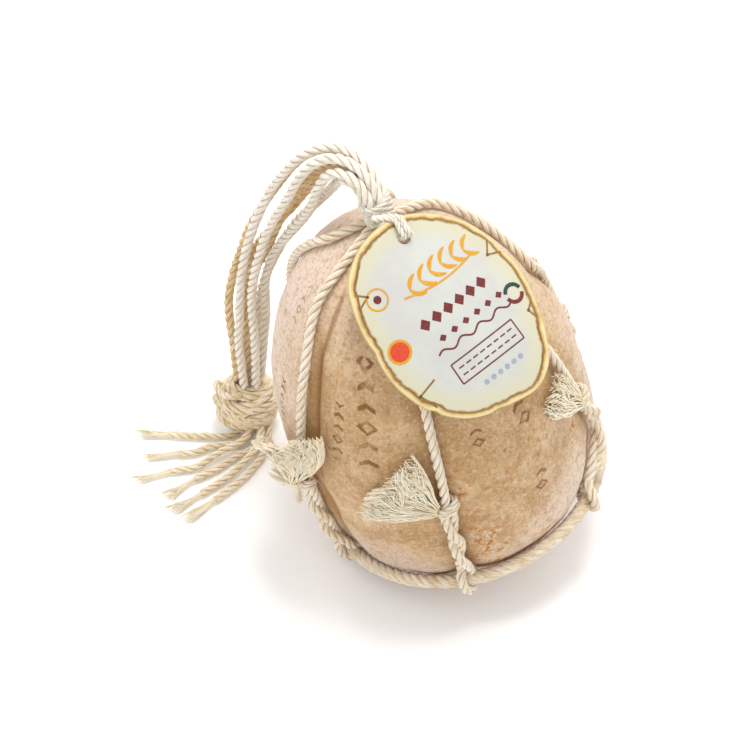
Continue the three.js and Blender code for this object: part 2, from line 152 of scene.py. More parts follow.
def evenly(points, count):
    fine = [curvePoint(points, i / 400) for i in range(401)]
    run = [0.0]
    for a, b in zip(fine, fine[1:]):
        run.append(run[-1] + (b - a).length)
    result, j = [], 0
    for k in range(count + 1):
        want = run[-1] * k / count
        while j < 399 and run[j + 1] < want:
            j += 1
        share = (want - run[j]) / max(1e-9, run[j + 1] - run[j])
        result.append(fine[j].lerp(fine[j + 1], min(1, share)))
    return result


def circleSpots(radius, count, middle=(0, 0), start=0.0):
    angles = [2 * math.pi * i / count + start for i in range(count + 1)]
    return [(middle[0] + radius * math.cos(a), middle[1] + radius * math.sin(a)) for a in angles]


def mix(a, b, share):
    return a + (b - a) * share


def smoothStep(x, low, high):
    t = min(1, max(0, (x - low) / (high - low)))
    return t * t * (3 - 2 * t)


# camera
camera = {"lens": 84, "place": (-0.0250, -0.6538, 0.7833), "lookDown": 44}
cameraData = bpy.data.cameras.new("camera")
cameraData.lens, cameraData.sensor_width = camera["lens"], 36
cameraData.clip_start, cameraData.clip_end = 0.01, 20
cameraObject = bpy.data.objects.new("camera", cameraData)
cameraObject.location = camera["place"]
cameraObject.rotation_euler = (math.radians(camera["lookDown"]), 0, 0)
scene.collection.objects.link(cameraObject)
scene.camera = cameraObject
print("camera set")


# body the cords lie on, in its own leaning axes
body = {
    "radius": 82, "top": 122, "bottom": 96, "topPower": 2, "bottomPower": 4.1,
    "centre": (5, 0, 94), "lean": 17,
    "creaseDepth": 2.9, "creaseWidth": 8, "creaseTop": 112, "creaseBottom": -92,
}
leaning = Matrix.Translation(body["centre"]) @ Matrix.Rotation(-math.radians(body["lean"]), 4, "Y")
upright = leaning.inverted()
cords = {"radius": 2.25, "lift": 3.1, "gap": 0.3, "hoopRadius": 77.8, "hoopHeight": -63.8, "hoopRope": 3.5,
         "hitchHeight": 2, "pairTurns": 1, "neck": (9, 0, 134), "neckLength": 9, "neckRadius": 7.6, "slotRadius": 4.8}
stays = {
    "a": {"slot": 215, "crease": 5, "ring": -57, "route": [(-37, 115), (-44, 106), (-45, 80), (-48, 52), (-57, 5)]},
    "b": {"slot": 275, "crease": 0, "ring": 0, "route": [(36, 117), (21, 106), (12, 80), (8, 48), (4, 5)]},
    "c": {"slot": 335, "crease": 0, "ring": 60, "route": [(75, 116), (67, 105), (66, 78), (71, 5), (79, -28)]},
    "d": {"slot": 35, "crease": 0, "ring": 120, "route": [(124, 110), (117, 98), (109, 79), (104, 60), (118, 30)]},
    "e": {"slot": 95, "crease": 0, "ring": 180, "route": [(168, 113), (173, 100), (178, 75), (180, 48), (180, 5)]},
    "f": {"slot": 155, "crease": 0, "ring": 240, "route": [(268, 119), (256, 112), (244, 90), (238, 55), (238, 5)]},
}


def toWorld(p):
    return (leaning @ Vector(p)) * mm


def halfOf(height):  # how far up or down its half of the body a height is, with that half's power and reach
    half, sign = ("top", 1) if height >= 0 else ("bottom", -1)
    return min(1, sign * height / body[half]), body[half + "Power"], sign * body[half]


def smoothRadius(height):
    share, power, _ = halfOf(height)
    return body["radius"] * math.sqrt(max(0, 1 - share ** power))


def routeAzimuth(route, height):  # a route runs from the top down
    for high, low in zip(route, route[1:]):
        if height >= low[1]:
            return mix(high[0], low[0], max(0, (height - high[1]) / (low[1] - high[1])))
    return route[-1][0]


def stayAzimuth(stay, height):
    return routeAzimuth(stay["route"] + [(stay["ring"], -60)], height)


def creaseAt(azimuth, height, width=None):
    fade = smoothStep(height, body["creaseBottom"], body["creaseBottom"] + 30)
    fade *= 1 - smoothStep(height, body["creaseTop"] - 30, body["creaseTop"])
    depth = 0
    for stay in stays.values():
        apart = (azimuth - stayAzimuth(stay, height) - stay["crease"] + 180) % 360 - 180
        depth += math.exp(-(apart / (width or body["creaseWidth"])) ** 2)
    return depth * fade


def onRind(azimuth, height, lift=0.0):
    share, power, reach = halfOf(height)
    out = Vector((math.sqrt(max(0, 1 - share ** power)), power * share ** (power - 1) * body["radius"] / (2 * reach)))
    out.normalize()
    radius = smoothRadius(height) - body["creaseDepth"] * creaseAt(azimuth, height) + out.x * lift
    angle = math.radians(azimuth)
    return Vector((radius * math.sin(angle), -radius * math.cos(angle), height + out.y * lift))


def besideAt(azimuth, radius, height, sideways):
    angle = math.radians(azimuth)
    return Vector((radius * math.sin(angle) + sideways * math.cos(angle),
                   -radius * math.cos(angle) + sideways * math.sin(angle), height))


def besideRind(azimuth, height, sideways):
    p = onRind(azimuth, height, cords["lift"])
    return besideAt(azimuth, math.hypot(p.x, p.y), p.z, sideways)


# The two legs below a hitch are laid round each other; side is -1 or 1
def twistedRind(stay, height, side):
    azimuth = stayAzimuth(stay, height)
    share = smoothStep(height, -55, cords["hitchHeight"])
    angle = 2 * math.pi * cords["pairTurns"] * share
    half = cords["radius"] - 0.15
    p = onRind(azimuth, height, cords["lift"] + half * (abs(math.sin(angle)) + side * math.sin(angle)))
    return besideAt(azimuth, math.hypot(p.x, p.y), p.z, side * half * math.cos(angle))


# materials
def newMaterial(name):
    material = bpy.data.materials.new(name)
    material.use_nodes = True
    material.node_tree.nodes.clear()
    node = partial(addNode, material.node_tree)
    shader = node("ShaderNodeBsdfPrincipled", output=None)
    node("ShaderNodeOutputMaterial", None, [shader.outputs[0]], None)
    return material, node, shader


# Laid hemp: cream fibres along each strand, with painted shade deep between the strands. "fibre" is the place round the
# strand with the length in z, in mm; "deep" is how near the strand's surface is to the rope's middle, and sets the
# painted shade.
def makeRopeMaterial(name, pale, tan, darkFibreAndShadeColour, soil=0.35):
    material, node, shader = newMaterial(name)
    fibre = node("ShaderNodeAttribute", {"attribute_name": "fibre"}, output="Vector")
    deep = node("ShaderNodeAttribute", {"attribute_name": "deep"}, output="Fac")
    place = node("ShaderNodeTexCoord", output="Object")
    streak = node(*cloudy, {
        "Vector": node(*vectorTimes, [fibre, (1.7, 1.7, 0.11)]), "Scale": 1.7, "Detail": 3, "Roughness": 0.6})
    fine = node(*cloudy, {
        "Vector": node(*vectorTimes, [fibre, (7, 7, 0.35)]), "Scale": 1.6, "Detail": 2, "Roughness": 0.5})
    cloud = node(*cloudy, {"Vector": place, "Scale": 38, "Detail": 3, "Roughness": 0.6})
    colour = srgb(tan)
    # over the tan: pale streaks, soil, dark fibre streaks, and last the painted shade where the strands face in
    for kind, value, span, shade in (
            (blend, streak, (0.36, 0.6), pale), (blendDark, cloud, (0.45, 0.72, 0.0, soil), tan),
            (blend, fine, (0.25, 0.5, 0.5, 0.0), darkFibreAndShadeColour), (blend, deep, (0.2, 0.8, 0.9, 0.0), darkFibreAndShadeColour)):
        colour = node(*kind, {0: node(*ramp, [value, *span]), 6: colour, 7: srgb(shade)}, 2)
    bump = node(*bumps, {"Height": streak, "Distance": 0.0005, "Strength": 0.7})
    setInputs(shader, {
        "Base Color": colour, "Roughness": 0.88, "Specular IOR Level": 0.25, "Sheen Weight": 0.25,
        "Sheen Roughness": 0.5,
        "Normal": node(*bumps, {"Height": fine, "Distance": 0.00022, "Strength": 0.8, "Normal": bump})})
    return material


# the third colour of each rope is for dark fibre streaks and for the painted shade between the strands
stayRopeMaterial = makeRopeMaterial("laid hemp of the stays", "fcf4e6", "e8d2aa", "946634", 0.22)
hankRopeMaterial = makeRopeMaterial("laid hemp of the hank", "fffcf6", "f2e6cc", "a0743e", 0.1)
innerRopeMaterial = makeRopeMaterial("browner laid hemp inside the hank", "f3dfb8", "d5ab69", "8a5826", 0.3)
hoopRopeMaterial = makeRopeMaterial("laid hemp of the hoop", "f1e5d0", "d9c09a", "7c5228", 0.35)
knotRopeMaterial = makeRopeMaterial("laid hemp of the big knot", "fff6e2", "ecd4a0", "8a5a28", 0.2)
fineCordMaterial = makeRopeMaterial("fine whipping cord", "fffaf0", "ece0c8", "946a38", 0.1)


# Frayed fibre: bleached cream, each fibre its own tone, with painted shade near its root
def makeFrayMaterial(name, pale, tan):
    material, node, shader = newMaterial(name)
    along = node("ShaderNodeAttribute", {"attribute_name": "along"}, output="Fac")
    shade = node("ShaderNodeAttribute", {"attribute_name": "shade"}, output="Fac")
    place = node("ShaderNodeTexCoord", output="Object")
    cloud = node(*cloudy, {"Vector": place, "Scale": 160, "Detail": 2, "Roughness": 0.5})
    tone = node(*add, [node(*times, [shade, 0.65]), node(*times, [cloud, 0.5])])
    colour = node(*blend, {0: tone, 6: srgb(tan), 7: srgb(pale)}, 2)
    # painted shade: darker tan towards the root of each fibre
    colour = node(*blendDark, {0: node(*ramp, [along, 0.0, 0.3, 0.3, 0.0]), 6: colour, 7: srgb(tan)}, 2)
    setInputs(shader, {
        "Base Color": colour, "Roughness": 0.8, "Specular IOR Level": 0.3, "Sheen Weight": 0.3,
        "Normal": node(*bumps, {"Height": cloud, "Distance": 0.0002, "Strength": 0.5})})
    return material


frayMaterial = makeFrayMaterial("frayed cream fibre", "fffaec", "f4dca6")


# node trees
def startTree(name, sizes):
    tree = bpy.data.node_groups.new(name, "GeometryNodeTree")
    tree.interface.new_socket("Geometry", in_out="INPUT", socket_type="NodeSocketGeometry")
    for label, value in sizes.items():
        kind = "NodeSocketInt" if isinstance(value, int) else "NodeSocketFloat"
        tree.interface.new_socket(label, in_out="INPUT", socket_type=kind).default_value = value
    tree.interface.new_socket("Material", in_out="INPUT", socket_type="NodeSocketMaterial")
    tree.interface.new_socket("Geometry", in_out="OUTPUT", socket_type="NodeSocketGeometry")
    node = partial(addNode, tree)
    return tree, node, node("NodeGroupInput", output=None).outputs


def endTree(node, geometry, given):
    geometry = node("GeometryNodeSetShadeSmooth", None, [geometry])
    geometry = node("GeometryNodeRealizeInstances", None, [geometry])
    geometry = node("GeometryNodeSetMaterial", None, {0: geometry, "Material": given["Material"]})
    node("NodeGroupOutput", None, [geometry], None)


# A laid rope: strands wound round a guide curve, with stray fibres standing off it
def makeRopeTree():
    tree, node, given = startTree("laidRope", {
        "Strand radius": 0.0012, "Strand offset": 0.0012, "Pitch": 0.012, "Strands": 3, "Ring step": 0.0011,
        "Fibre spacing": 0.0022, "Fibre length": 0.004, "Fibre stand": 0.0011, "Fibre radius": 0.00008, "Seed": 3})
    even = node("GeometryNodeResampleCurve", {"mode": "LENGTH"},
                {"Curve": given["Geometry"], "Length": given["Ring step"]})
    copies = node("GeometryNodeDuplicateElements", {"domain": "SPLINE"},
                  {"Geometry": even, "Amount": given["Strands"]}, None)
    which = copies.outputs["Duplicate Index"]
    length = node("GeometryNodeSplineParameter", output="Length")
    turn = node(*over, [length, given["Pitch"]])
    turn = node(*add, [turn, node(*over, [which, given["Strands"]])])
    angle = node(*times, [turn, 2 * math.pi])
    normal = node("GeometryNodeInputNormal")
    tangent = node("GeometryNodeInputTangent")
    other = node("ShaderNodeVectorMath", {"operation": "CROSS_PRODUCT"}, [tangent, normal])
    cosine, sine = (node("ShaderNodeMath", {"operation": name}, [angle]) for name in ("COSINE", "SINE"))
    out = node(*vectorAdd, [node(*vectorScale, {0: way, "Scale": share}) for way, share in (
        (normal, cosine), (other, sine))])
    wobble = node("ShaderNodeTexNoise", {"noise_dimensions": "4D"},
                  {"W": node(*times, [which, 7.3]), "Scale": 130.0, "Detail": 1.0})
    reach = node(*times, [given["Strand offset"], node(*add, [0.86, node(*times, [wobble, 0.28])])])
    geometry = node(*keepVector, {"Geometry": copies.outputs[0], "Name": "outward", "Value": out})
    geometry = node(*keepNumber, {"Geometry": geometry, "Name": "lengthRun", "Value": node(*times, [length, 1000.0])})
    offset = node(*vectorScale, {0: out, "Scale": reach})
    moved = node("GeometryNodeSetPosition", None, {"Geometry": geometry, "Offset": offset})
    circle = node(*circleCurve, {"Resolution": 8, "Radius": given["Strand radius"]})
    size = node(*combine, [given["Strand radius"], given["Strand radius"], 1.0])
    ring = node(*vectorOver, [node("GeometryNodeInputPosition"), size])
    circle = node(*keepVector, {"Geometry": circle, "Name": "spoke", "Value": ring})
    tube = node(*sweep, {"Curve": moved, "Profile Curve": circle, "Fill Caps": True})
    spoke = node("ShaderNodeSeparateXYZ", None, [node(*keptVector, {"Name": "spoke"})], output=None)
    fibre = node(*combine, [spoke.outputs[0], spoke.outputs[1], node(*keptNumber, {"Name": "lengthRun"})])
    tube = node(*keepVector, {"Geometry": tube, "Name": "fibre", "Value": fibre})
    # deep: how far each strand's surface faces out from the rope's middle; the material paints shade on the sides that
    # face in
    facing = node("ShaderNodeVectorMath", {"operation": "DOT_PRODUCT"},
                  [node("GeometryNodeInputNormal"), node(*keptVector, {"Name": "outward"})], "Value")
    facing = node("ShaderNodeMath", {"operation": "ADD", "use_clamp": True}, [node(*times, [facing, 0.5]), 0.5])
    tube = node(*keepNumber, {"Geometry": tube, "Name": "deep", "Value": facing})
    # stray fibres
    dots = node("GeometryNodeCurveToPoints", {"mode": "LENGTH"},
                {"Curve": given["Geometry"], "Length": given["Fibre spacing"]}, None)
    spin = node(*combine, [node(*randomNumber, {2: low, 3: high, "Seed": seed}, 1) for low, high, seed in (
        (-0.25, 0.25, 11), (-0.15, 0.2, 12), (0.0, 6.283, given["Seed"]))])
    spin = node("FunctionNodeEulerToRotation", None, [spin])
    turned = node("FunctionNodeRotateRotation", {"rotation_space": "LOCAL"},
                  {"Rotation": dots.outputs["Rotation"], "Rotate By": spin})
    reachOut = node(*add, [node(*add, [given["Strand offset"], given["Strand radius"]]), given["Fibre stand"]])
    hair = node("GeometryNodeCurveQuadraticBezier", None, {
        "Resolution": 4, "Start": node(*combine, [given["Strand offset"], 0.0, 0.0]),
        "Middle": node(*combine, [reachOut, 0.0, node(*times, [given["Fibre length"], 0.35])]),
        "End": node(*combine, [reachOut, node(*times, [given["Fibre length"], 0.3]), given["Fibre length"]])})
    size = node("FunctionNodeRandomValue", vectors, {0: (0.55, 0.55, 0.5), 1: (1, 1, 1.2), "Seed": 9})
    hairs = node("GeometryNodeInstanceOnPoints", None, {
        "Points": dots.outputs["Points"], "Instance": hair, "Rotation": turned, "Scale": size})
    hairs = node("GeometryNodeRealizeInstances", None, [hairs])
    thin = node(*circleCurve, {"Resolution": 3, "Radius": given["Fibre radius"]})
    hairs = node(*sweep, {"Curve": hairs, "Profile Curve": thin, "Fill Caps": True})
    # stray fibres are set to take none of the painted shade
    hairs = node(*keepNumber, {"Geometry": hairs, "Name": "deep", "Value": 0.9})
    both = node("GeometryNodeJoinGeometry", None, [hairs], None)
    setInputs(both, {0: tube})
    endTree(node, both.outputs[0], given)
    return tree


ropeTree = makeRopeTree()


# A fan of fibres in wavy locks, laid over a guide sheet by its own map: x across the fan, y from root to tip
def makeFanTree():
    tree, node, given = startTree("fibreFan", {
        "Fibres": 300, "Locks": 12, "Lock width": 0.05, "Rise": 0.0022, "Wave": 0.04, "Fibre radius": 0.00016,
        "Shortest": 0.72, "Seed": 5})
    line = node("GeometryNodeCurvePrimitiveLine", None, {"Start": (0, 0, 0), "End": (1, 0, 0)})
    line = node("GeometryNodeResampleCurve", {"mode": "COUNT"}, {"Curve": line, "Count": 11})
    copies = node("GeometryNodeDuplicateElements", {"domain": "SPLINE"},
                  {"Geometry": line, "Amount": given["Fibres"]}, None)
    who = copies.outputs["Duplicate Index"]
    reach = node(*randomNumber, {2: given["Shortest"], 3: 1.0, "Seed": given["Seed"], "ID": who}, 1)
    factor = node("GeometryNodeSplineParameter", output="Factor")
    lock = node(*randomNumber, {2: 0.0, 3: 0.9999, "Seed": node(*add, [given["Seed"], 1]), "ID": who}, 1)
    lock = node(*whole, [node(*times, [lock, given["Locks"]])])
    whichLock = node("FunctionNodeFloatToInt", None, [lock])
    reach = node(*times, [reach, node(*randomNumber, {2: 0.78, 3: 1.0, "Seed": 23, "ID": whichLock}, 1)])
    along = node(*times, [factor, reach])
    middle = node(*over, [node(*add, [lock, 0.5]), given["Locks"]])
    stray = node(*randomNumber, {2: -1.0, 3: 1.0, "Seed": node(*add, [given["Seed"], 2]), "ID": who}, 1)
    opening = node(*add, [0.35, node("ShaderNodeMath", {"operation": "POWER"}, [factor, 2.0])])
    spread = node(*times, [node(*times, [stray, given["Lock width"]]), opening])
    lockWave, ownWave = (
        node("ShaderNodeTexNoise", {"noise_dimensions": "2D"}, {
            "Vector": node(*combine, [node(*times, [value, pace]), factor]), "Scale": scale, "Detail": 1.0})
        for value, pace, scale in ((lock, 3.7, 3.2), (who, 1.37, 4.5)))
    wave = node(*times, [node(*minus, [lockWave, 0.5]), node(*times, [given["Wave"], 3.2])])
    wave = node(*add, [wave, node(*times, [node(*minus, [ownWave, 0.5]), given["Wave"]])])
    across = node("ShaderNodeMath", {"operation": "ADD", "use_clamp": True},
                  [node(*add, [middle, spread]), node(*times, [wave, factor])])
    spot = node(*combine, [node(*larger, [node(*smaller, [value, 0.995]), 0.005]) for value in (across, along)])
    mapped = node(*keptVector, {"Name": "fanMap"})
    position, normal = (
        node("GeometryNodeSampleUVSurface", vectors, {
            "Mesh": given["Geometry"], "Value": node(kind), "UV Map": mapped, "Sample UV": spot})
        for kind in ("GeometryNodeInputPosition", "GeometryNodeInputNormal"))
    layer = node(*randomNumber, {2: -1.0, 3: 1.0, "Seed": node(*add, [given["Seed"], 3]), "ID": who}, 1)
    layer = node(*add, [layer, node(*times, [node(*minus, [ownWave, 0.5]), 0.8])])
    rise = node(*times, [layer, node(*times, [given["Rise"], node(*minus, [1.15, node(*times, [factor, 0.5])])])])
    position = node(*vectorAdd, [position, node(*vectorScale, {0: normal, "Scale": rise})])
    geometry = node(*keepNumber, {"Geometry": copies.outputs[0], "Name": "along", "Value": factor})
    shade = node(*add, [node(*times, [node(*randomNumber, {2: 0.0, 3: 1.0, "Seed": seed, "ID": value}, 1), 0.5])
                        for seed, value in ((21, who), (22, whichLock))])
    geometry = node(*keepNumber, {"Geometry": geometry, "Name": "shade", "Value": shade})
    moved = node("GeometryNodeSetPosition", None, {"Geometry": geometry, "Position": position})
    circle = node(*circleCurve, {"Resolution": 3, "Radius": given["Fibre radius"]})
    taper = node(*minus, [1.15, node(*times, [factor, 0.6])])
    sized = node("GeometryNodeSetCurveRadius", None, {"Curve": moved, "Radius": taper})
    tube = node(*sweep, {"Curve": sized, "Profile Curve": circle, "Fill Caps": True})
    endTree(node, tube, given)
    return tree


fanTree = makeFanTree()


# Points in metres; a three-strand rope fills its radius when each strand is half of it
def makeRope(name, points, material, radius=2.25, pitch=12.5, strands=3, seed=3, fibres=1.0, step=1.1):
    guide = curveObject(name + "Guide", points)
    return grown(name, guide, ropeTree, {
        "Strand radius": radius * 0.59 * mm, "Strand offset": radius * 0.52 * mm, "Pitch": pitch * mm,
        "Strands": strands, "Ring step": step * mm, "Fibre spacing": 1.9 / fibres * mm,
        "Fibre length": radius * 1.25 * mm, "Fibre stand": radius * 0.42 * mm, "Fibre radius": 0.075 * mm,
        "Seed": seed}, material)


# Rows of points in metres, from the root to the tips
def makeFan(name, rows, material, fibres, locks, seed, width, rise, wave, radius, shortest):
    across = len(rows[0])
    guide = meshObject(name + "Guide", [p for row in rows for p in row], gridFaces(across, len(rows)))
    layer = guide.data.attributes.new("fanMap", "FLOAT_VECTOR", "CORNER")
    for loop in guide.data.loops:
        r, c = divmod(loop.vertex_index, across)
        layer.data[loop.index].vector = (c / (across - 1), r / (len(rows) - 1), 0)
    return grown(name, guide, fanTree, {
        "Fibres": fibres, "Locks": locks, "Lock width": width, "Rise": rise * mm, "Wave": wave,
        "Fibre radius": radius * mm, "Shortest": shortest, "Seed": seed}, material)


def finishPiece(piece, slot, *nodes):
    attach(piece, "root")
    if nodes:
        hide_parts(*nodes)
    return piece


# big knot
knot = {
    "centre": (-103, 67, 18.2), "radius": 19, "rope": 2.35, "core": 15.4, "squash": 0.9,
    "wraps": [  # tilt, turn, height, radius
        (6, 20, -14.2, 9.6), (-9, 50, -11.0, 12.8), (10, 15, -7.4, 15.2), (-5, 80, -4.2, 16.4), (8, -20, -0.8, 17.0),
        (-11, 35, 2.2, 16.8), (7, 60, 5.6, 15.8), (-8, -10, 8.8, 13.8), (11, 80, 12.0, 11.0), (5, 30, 14.6, 7.6),
        (24, 20, -1.0, 17.2), (-22, 64, 1.5, 16.9), (62, 40, 0.5, 15.4), (-58, 110, 0.0, 15.0), (38, 160, 2.0, 16.2),
    ],
    "looseLoops": [  # place from the centre, radius, tilt, turn
        (-13, -3, 9, 8, 60, 20), (-14, -5, 1, 7.5, 75, 50), (-11, -9, -6, 7, 40, 10), (-7, -6, 14, 8, 20, 70),
    ],
}


def ringPath(tilt, turn, radius, count, oval=1.0):  # a ring tilted about a turned axis
    axis = Matrix.Rotation(math.radians(turn), 3, "Z") @ Matrix.Rotation(math.radians(tilt), 3, "Y")
    angles = [2 * math.pi * i / count for i in range(count + 1)]
    return [axis @ Vector((radius * math.cos(a), radius * oval * math.sin(a), 0)) for a in angles]


def makeKnotPiece():
    centre, parts = Vector(knot["centre"]), []
    for i, (tilt, turn, height, radius) in enumerate(knot["wraps"]):
        ring = ringPath(tilt, turn, radius, 40)
        ring = [(centre + Vector((p.x, p.y, p.z * knot["squash"] + height))) * mm for p in ring]
        parts.append(makeRope(f"wrap{i}", ring, knotRopeMaterial, knot["rope"], 20, seed=30 + i, fibres=1.2))
    for i, (x, y, z, radius, tilt, turn) in enumerate(knot["looseLoops"]):
        ring = [(centre + Vector((x, y, z)) + p) * mm for p in ringPath(tilt, turn, radius, 28, 0.8)]
        parts.append(makeRope(f"looseLoop{i}", ring, knotRopeMaterial, 1.9, 12, seed=45 + i, fibres=2))
    core, around, levels = [], 32, 16
    for j in range(levels + 1):
        polar, radius = math.pi * j / levels, knot["core"]
        core += [(centre + Vector((*spot, radius * 0.94 * math.cos(polar)))) * mm
                 for spot in circleSpots(radius * math.sin(polar), around)[:-1]]
    faces = [(a, d, c, b) for a, b, c, d in gridFaces(around, levels + 1, True)]
    inside = meshObject("knotCore", core, faces, knotRopeMaterial)
    # the core seen between the wraps takes about half of the painted shade between strands
    keepValues(inside, "deep", [0.45] * len(core))
    return joined("bigKnot", parts + [inside])


# Parts of one piece, put together in one mesh
def joined(name, parts):
    with bpy.context.temp_override(active_object=parts[0], selected_editable_objects=parts, selected_objects=parts):
        bpy.ops.object.join()
    piece = parts[0]
    piece.name = piece.data.name = name
    return piece


bigKnot = finishPiece(makeKnotPiece(), "cord", "big_knot")
print("knot made")

# hank of cords, from the neck to the knot
hank = {
    "route": [(-30, 3, 238, 4.8), (-37, 8, 243, 6), (-45, 16, 241, 9), (-55, 25, 229, 12), (-66, 37, 206, 14),
              (-79, 52, 170, 11), (-92, 56, 138, 10), (-98, 62, 105, 11), (-100, 66, 69, 9), (-101, 68, 24, 6)],
    "cords": 7, "turn": 70, "steps": 36, "easings": 8, "diameter": 4.5, "gap": 2.7, "hidden": 5, "wander": 4.5,
    "browner": (1, 2, 6), "ropeRadius": 2.45, "pitch": 19, "points": 160,
}


def hankPoints(cord):
    neck = Vector(cords["neck"])
    low = leaning @ (neck + Vector((0, 0, cords["neckLength"] / 2 + hank["gap"])))
    spreads = [cords["slotRadius"]] + [s for *_, s in hank["route"]]
    middle = [low] + [Vector((x, y, z)) for x, y, z, _ in hank["route"]]
    deep = Vector((0, 0.7, -0.7))
    points = []
    for i in range(hank["steps"] + 1):
        t = i / hank["steps"]
        along = curveTangent(middle, t)
        across = along.cross(deep).normalized()
        behind = across.cross(along).normalized()
        place = t * (len(middle) - 1)
        before = min(int(place), len(middle) - 2)
        spread = mix(spreads[before], spreads[before + 1], place - before)
        angle = math.radians(60 * cord + hank["turn"] * t)
        reach = 0 if cord == hank["cords"] - 1 else spread
        aside = across * reach * math.cos(angle) + behind * reach * math.sin(angle)
        points.append((curvePoint(middle, t) + aside) * mm)
    for _ in range(hank["easings"]):  # drawn towards their neighbours, so that no cord takes a sharp bend
        points = [points[0], *((a + 2 * b + c) / 4 for a, b, c in zip(points, points[1:], points[2:])), points[-1]]
    # the first stretch is hidden inside the whipping
    return [points[0] - leaning.to_3x3() @ Vector((0, 0, hank["hidden"])) * mm] + points


for cord in range(hank["cords"]):
    outside = [p for p in hankPoints(cord) if (p / mm - Vector(knot["centre"])).length > knot["radius"] - 3]
    path = evenly(outside, hank["points"])
    for k, p in enumerate(path):  # each cord wanders a little of its own
        ease = smoothStep(k, 20, 60) * (1 - smoothStep(k, 120, 158))
        wander = noise.noise_vector(Vector((k * 0.028, cord * 7.3, 2)))
        path[k] = p + wander * hank["wander"] * ease * mm
    ropeMaterial = innerRopeMaterial if cord in hank["browner"] else hankRopeMaterial
    piece = makeRope(f"hank{cord + 1}", path, ropeMaterial, hank["ropeRadius"], hank["pitch"], seed=50 + cord)
    finishPiece(piece, "cord", f"hank_{cord + 1}")
print("hank made")

# tails that lie on the floor from the knot, each with its frayed end
tails = {
    "routes": [
        [(-104, 62, 7), (-110, 53, 3.4), (-128, 51, 3), (-145, 52, 3), (-159, 55, 3)],
        [(-98, 57, 6), (-106, 47, 3.2), (-125, 43, 3), (-140, 39, 3), (-152, 37, 3)],
        [(-100, 60, 11), (-103, 46, 8.4), (-116, 37, 6), (-135, 28, 3), (-158, 19, 3)],
        [(-94, 58, 7), (-99, 42, 3.2), (-109, 35, 3), (-124, 24, 3), (-139, 11, 3)],
        [(-95, 60, 12), (-95, 44, 8.6), (-104, 29, 4.5), (-119, 13, 3), (-136, 1, 3)],
        [(-90, 60, 8), (-91, 42, 3.2), (-98, 27, 3), (-111, 9, 3), (-127, -5, 3)],
    ],
    "diameter": 4.5, "ropeRadius": 2.05, "pitch": 17, "fray": 27, "hiddenFray": 14, "frayWidth": 4.0, "sway": 3.5,
}
for i, route in enumerate(tails["routes"]):
    knots = [Vector(p) for p in route]
    path = [p * mm for p in evenly(knots, 60)]
    for k, p in enumerate(path):
        sway = noise.noise_vector(Vector((k * 0.06, i * 5.1, 7)))
        path[k] = p + Vector((sway.x, sway.y, 0)) * tails["sway"] * smoothStep(k, 14, 40) * mm
    start = next(k for k, p in enumerate(path) if (p / mm - Vector(knot["centre"])).length > knot["radius"] - 4.5)
    path = path[start:]
    last, along = path[-1], (path[-1] - path[-6]).normalized()
    side = along.cross(Vector((0, 0, 1))).normalized()
    rows = []
    for r in range(7):
        t = r / 6
        wide = mix(1.0, tails["frayWidth"], t * t) * mm * (1 + 0.3 * math.sin(5 * t + i))
        centre = last + along * ((tails["fray"] * t - tails["hiddenFray"]) * mm)
        centre.z = mix(last.z, 2.4 * mm, t)
        rows.append([centre + side * wide * (c / 5 * 2 - 1) for c in range(6)])
    fray = makeFan(f"tailFray{i + 1}", rows, frayMaterial, 150, 4, 60 + i, 0.13, 1.15, 0.6, 0.2, 0.35)
    finishPiece(fray, "fray")
    piece = makeRope(f"tail{i + 1}", path[:-9], knotRopeMaterial, tails["ropeRadius"], tails["pitch"], seed=70 + i,
                     fibres=2.5)
    finishPiece(piece, "cord", f"tail_{i + 1}")
print("tails made")


# cheese
rind = {
    "around": 370, "rings": 200, "pits": 300, "dense": (-43, 15, 2.2), "seamDepth": 1.1, "seamWidth": 1.3,
    "front": 8, "frontWidth": 58, "swell": 1.1, "lump": 0.24, "grain": 0.10, "pressDepth": 0.9, "pressWidth": 5,
    "narrow": 3.4, "pitDepth": 1.6,
    "seam": [(-24, 117), (-38.5, 86), (-43, 42), (-48, 10), (-51, -20), (-53, -52)],
}
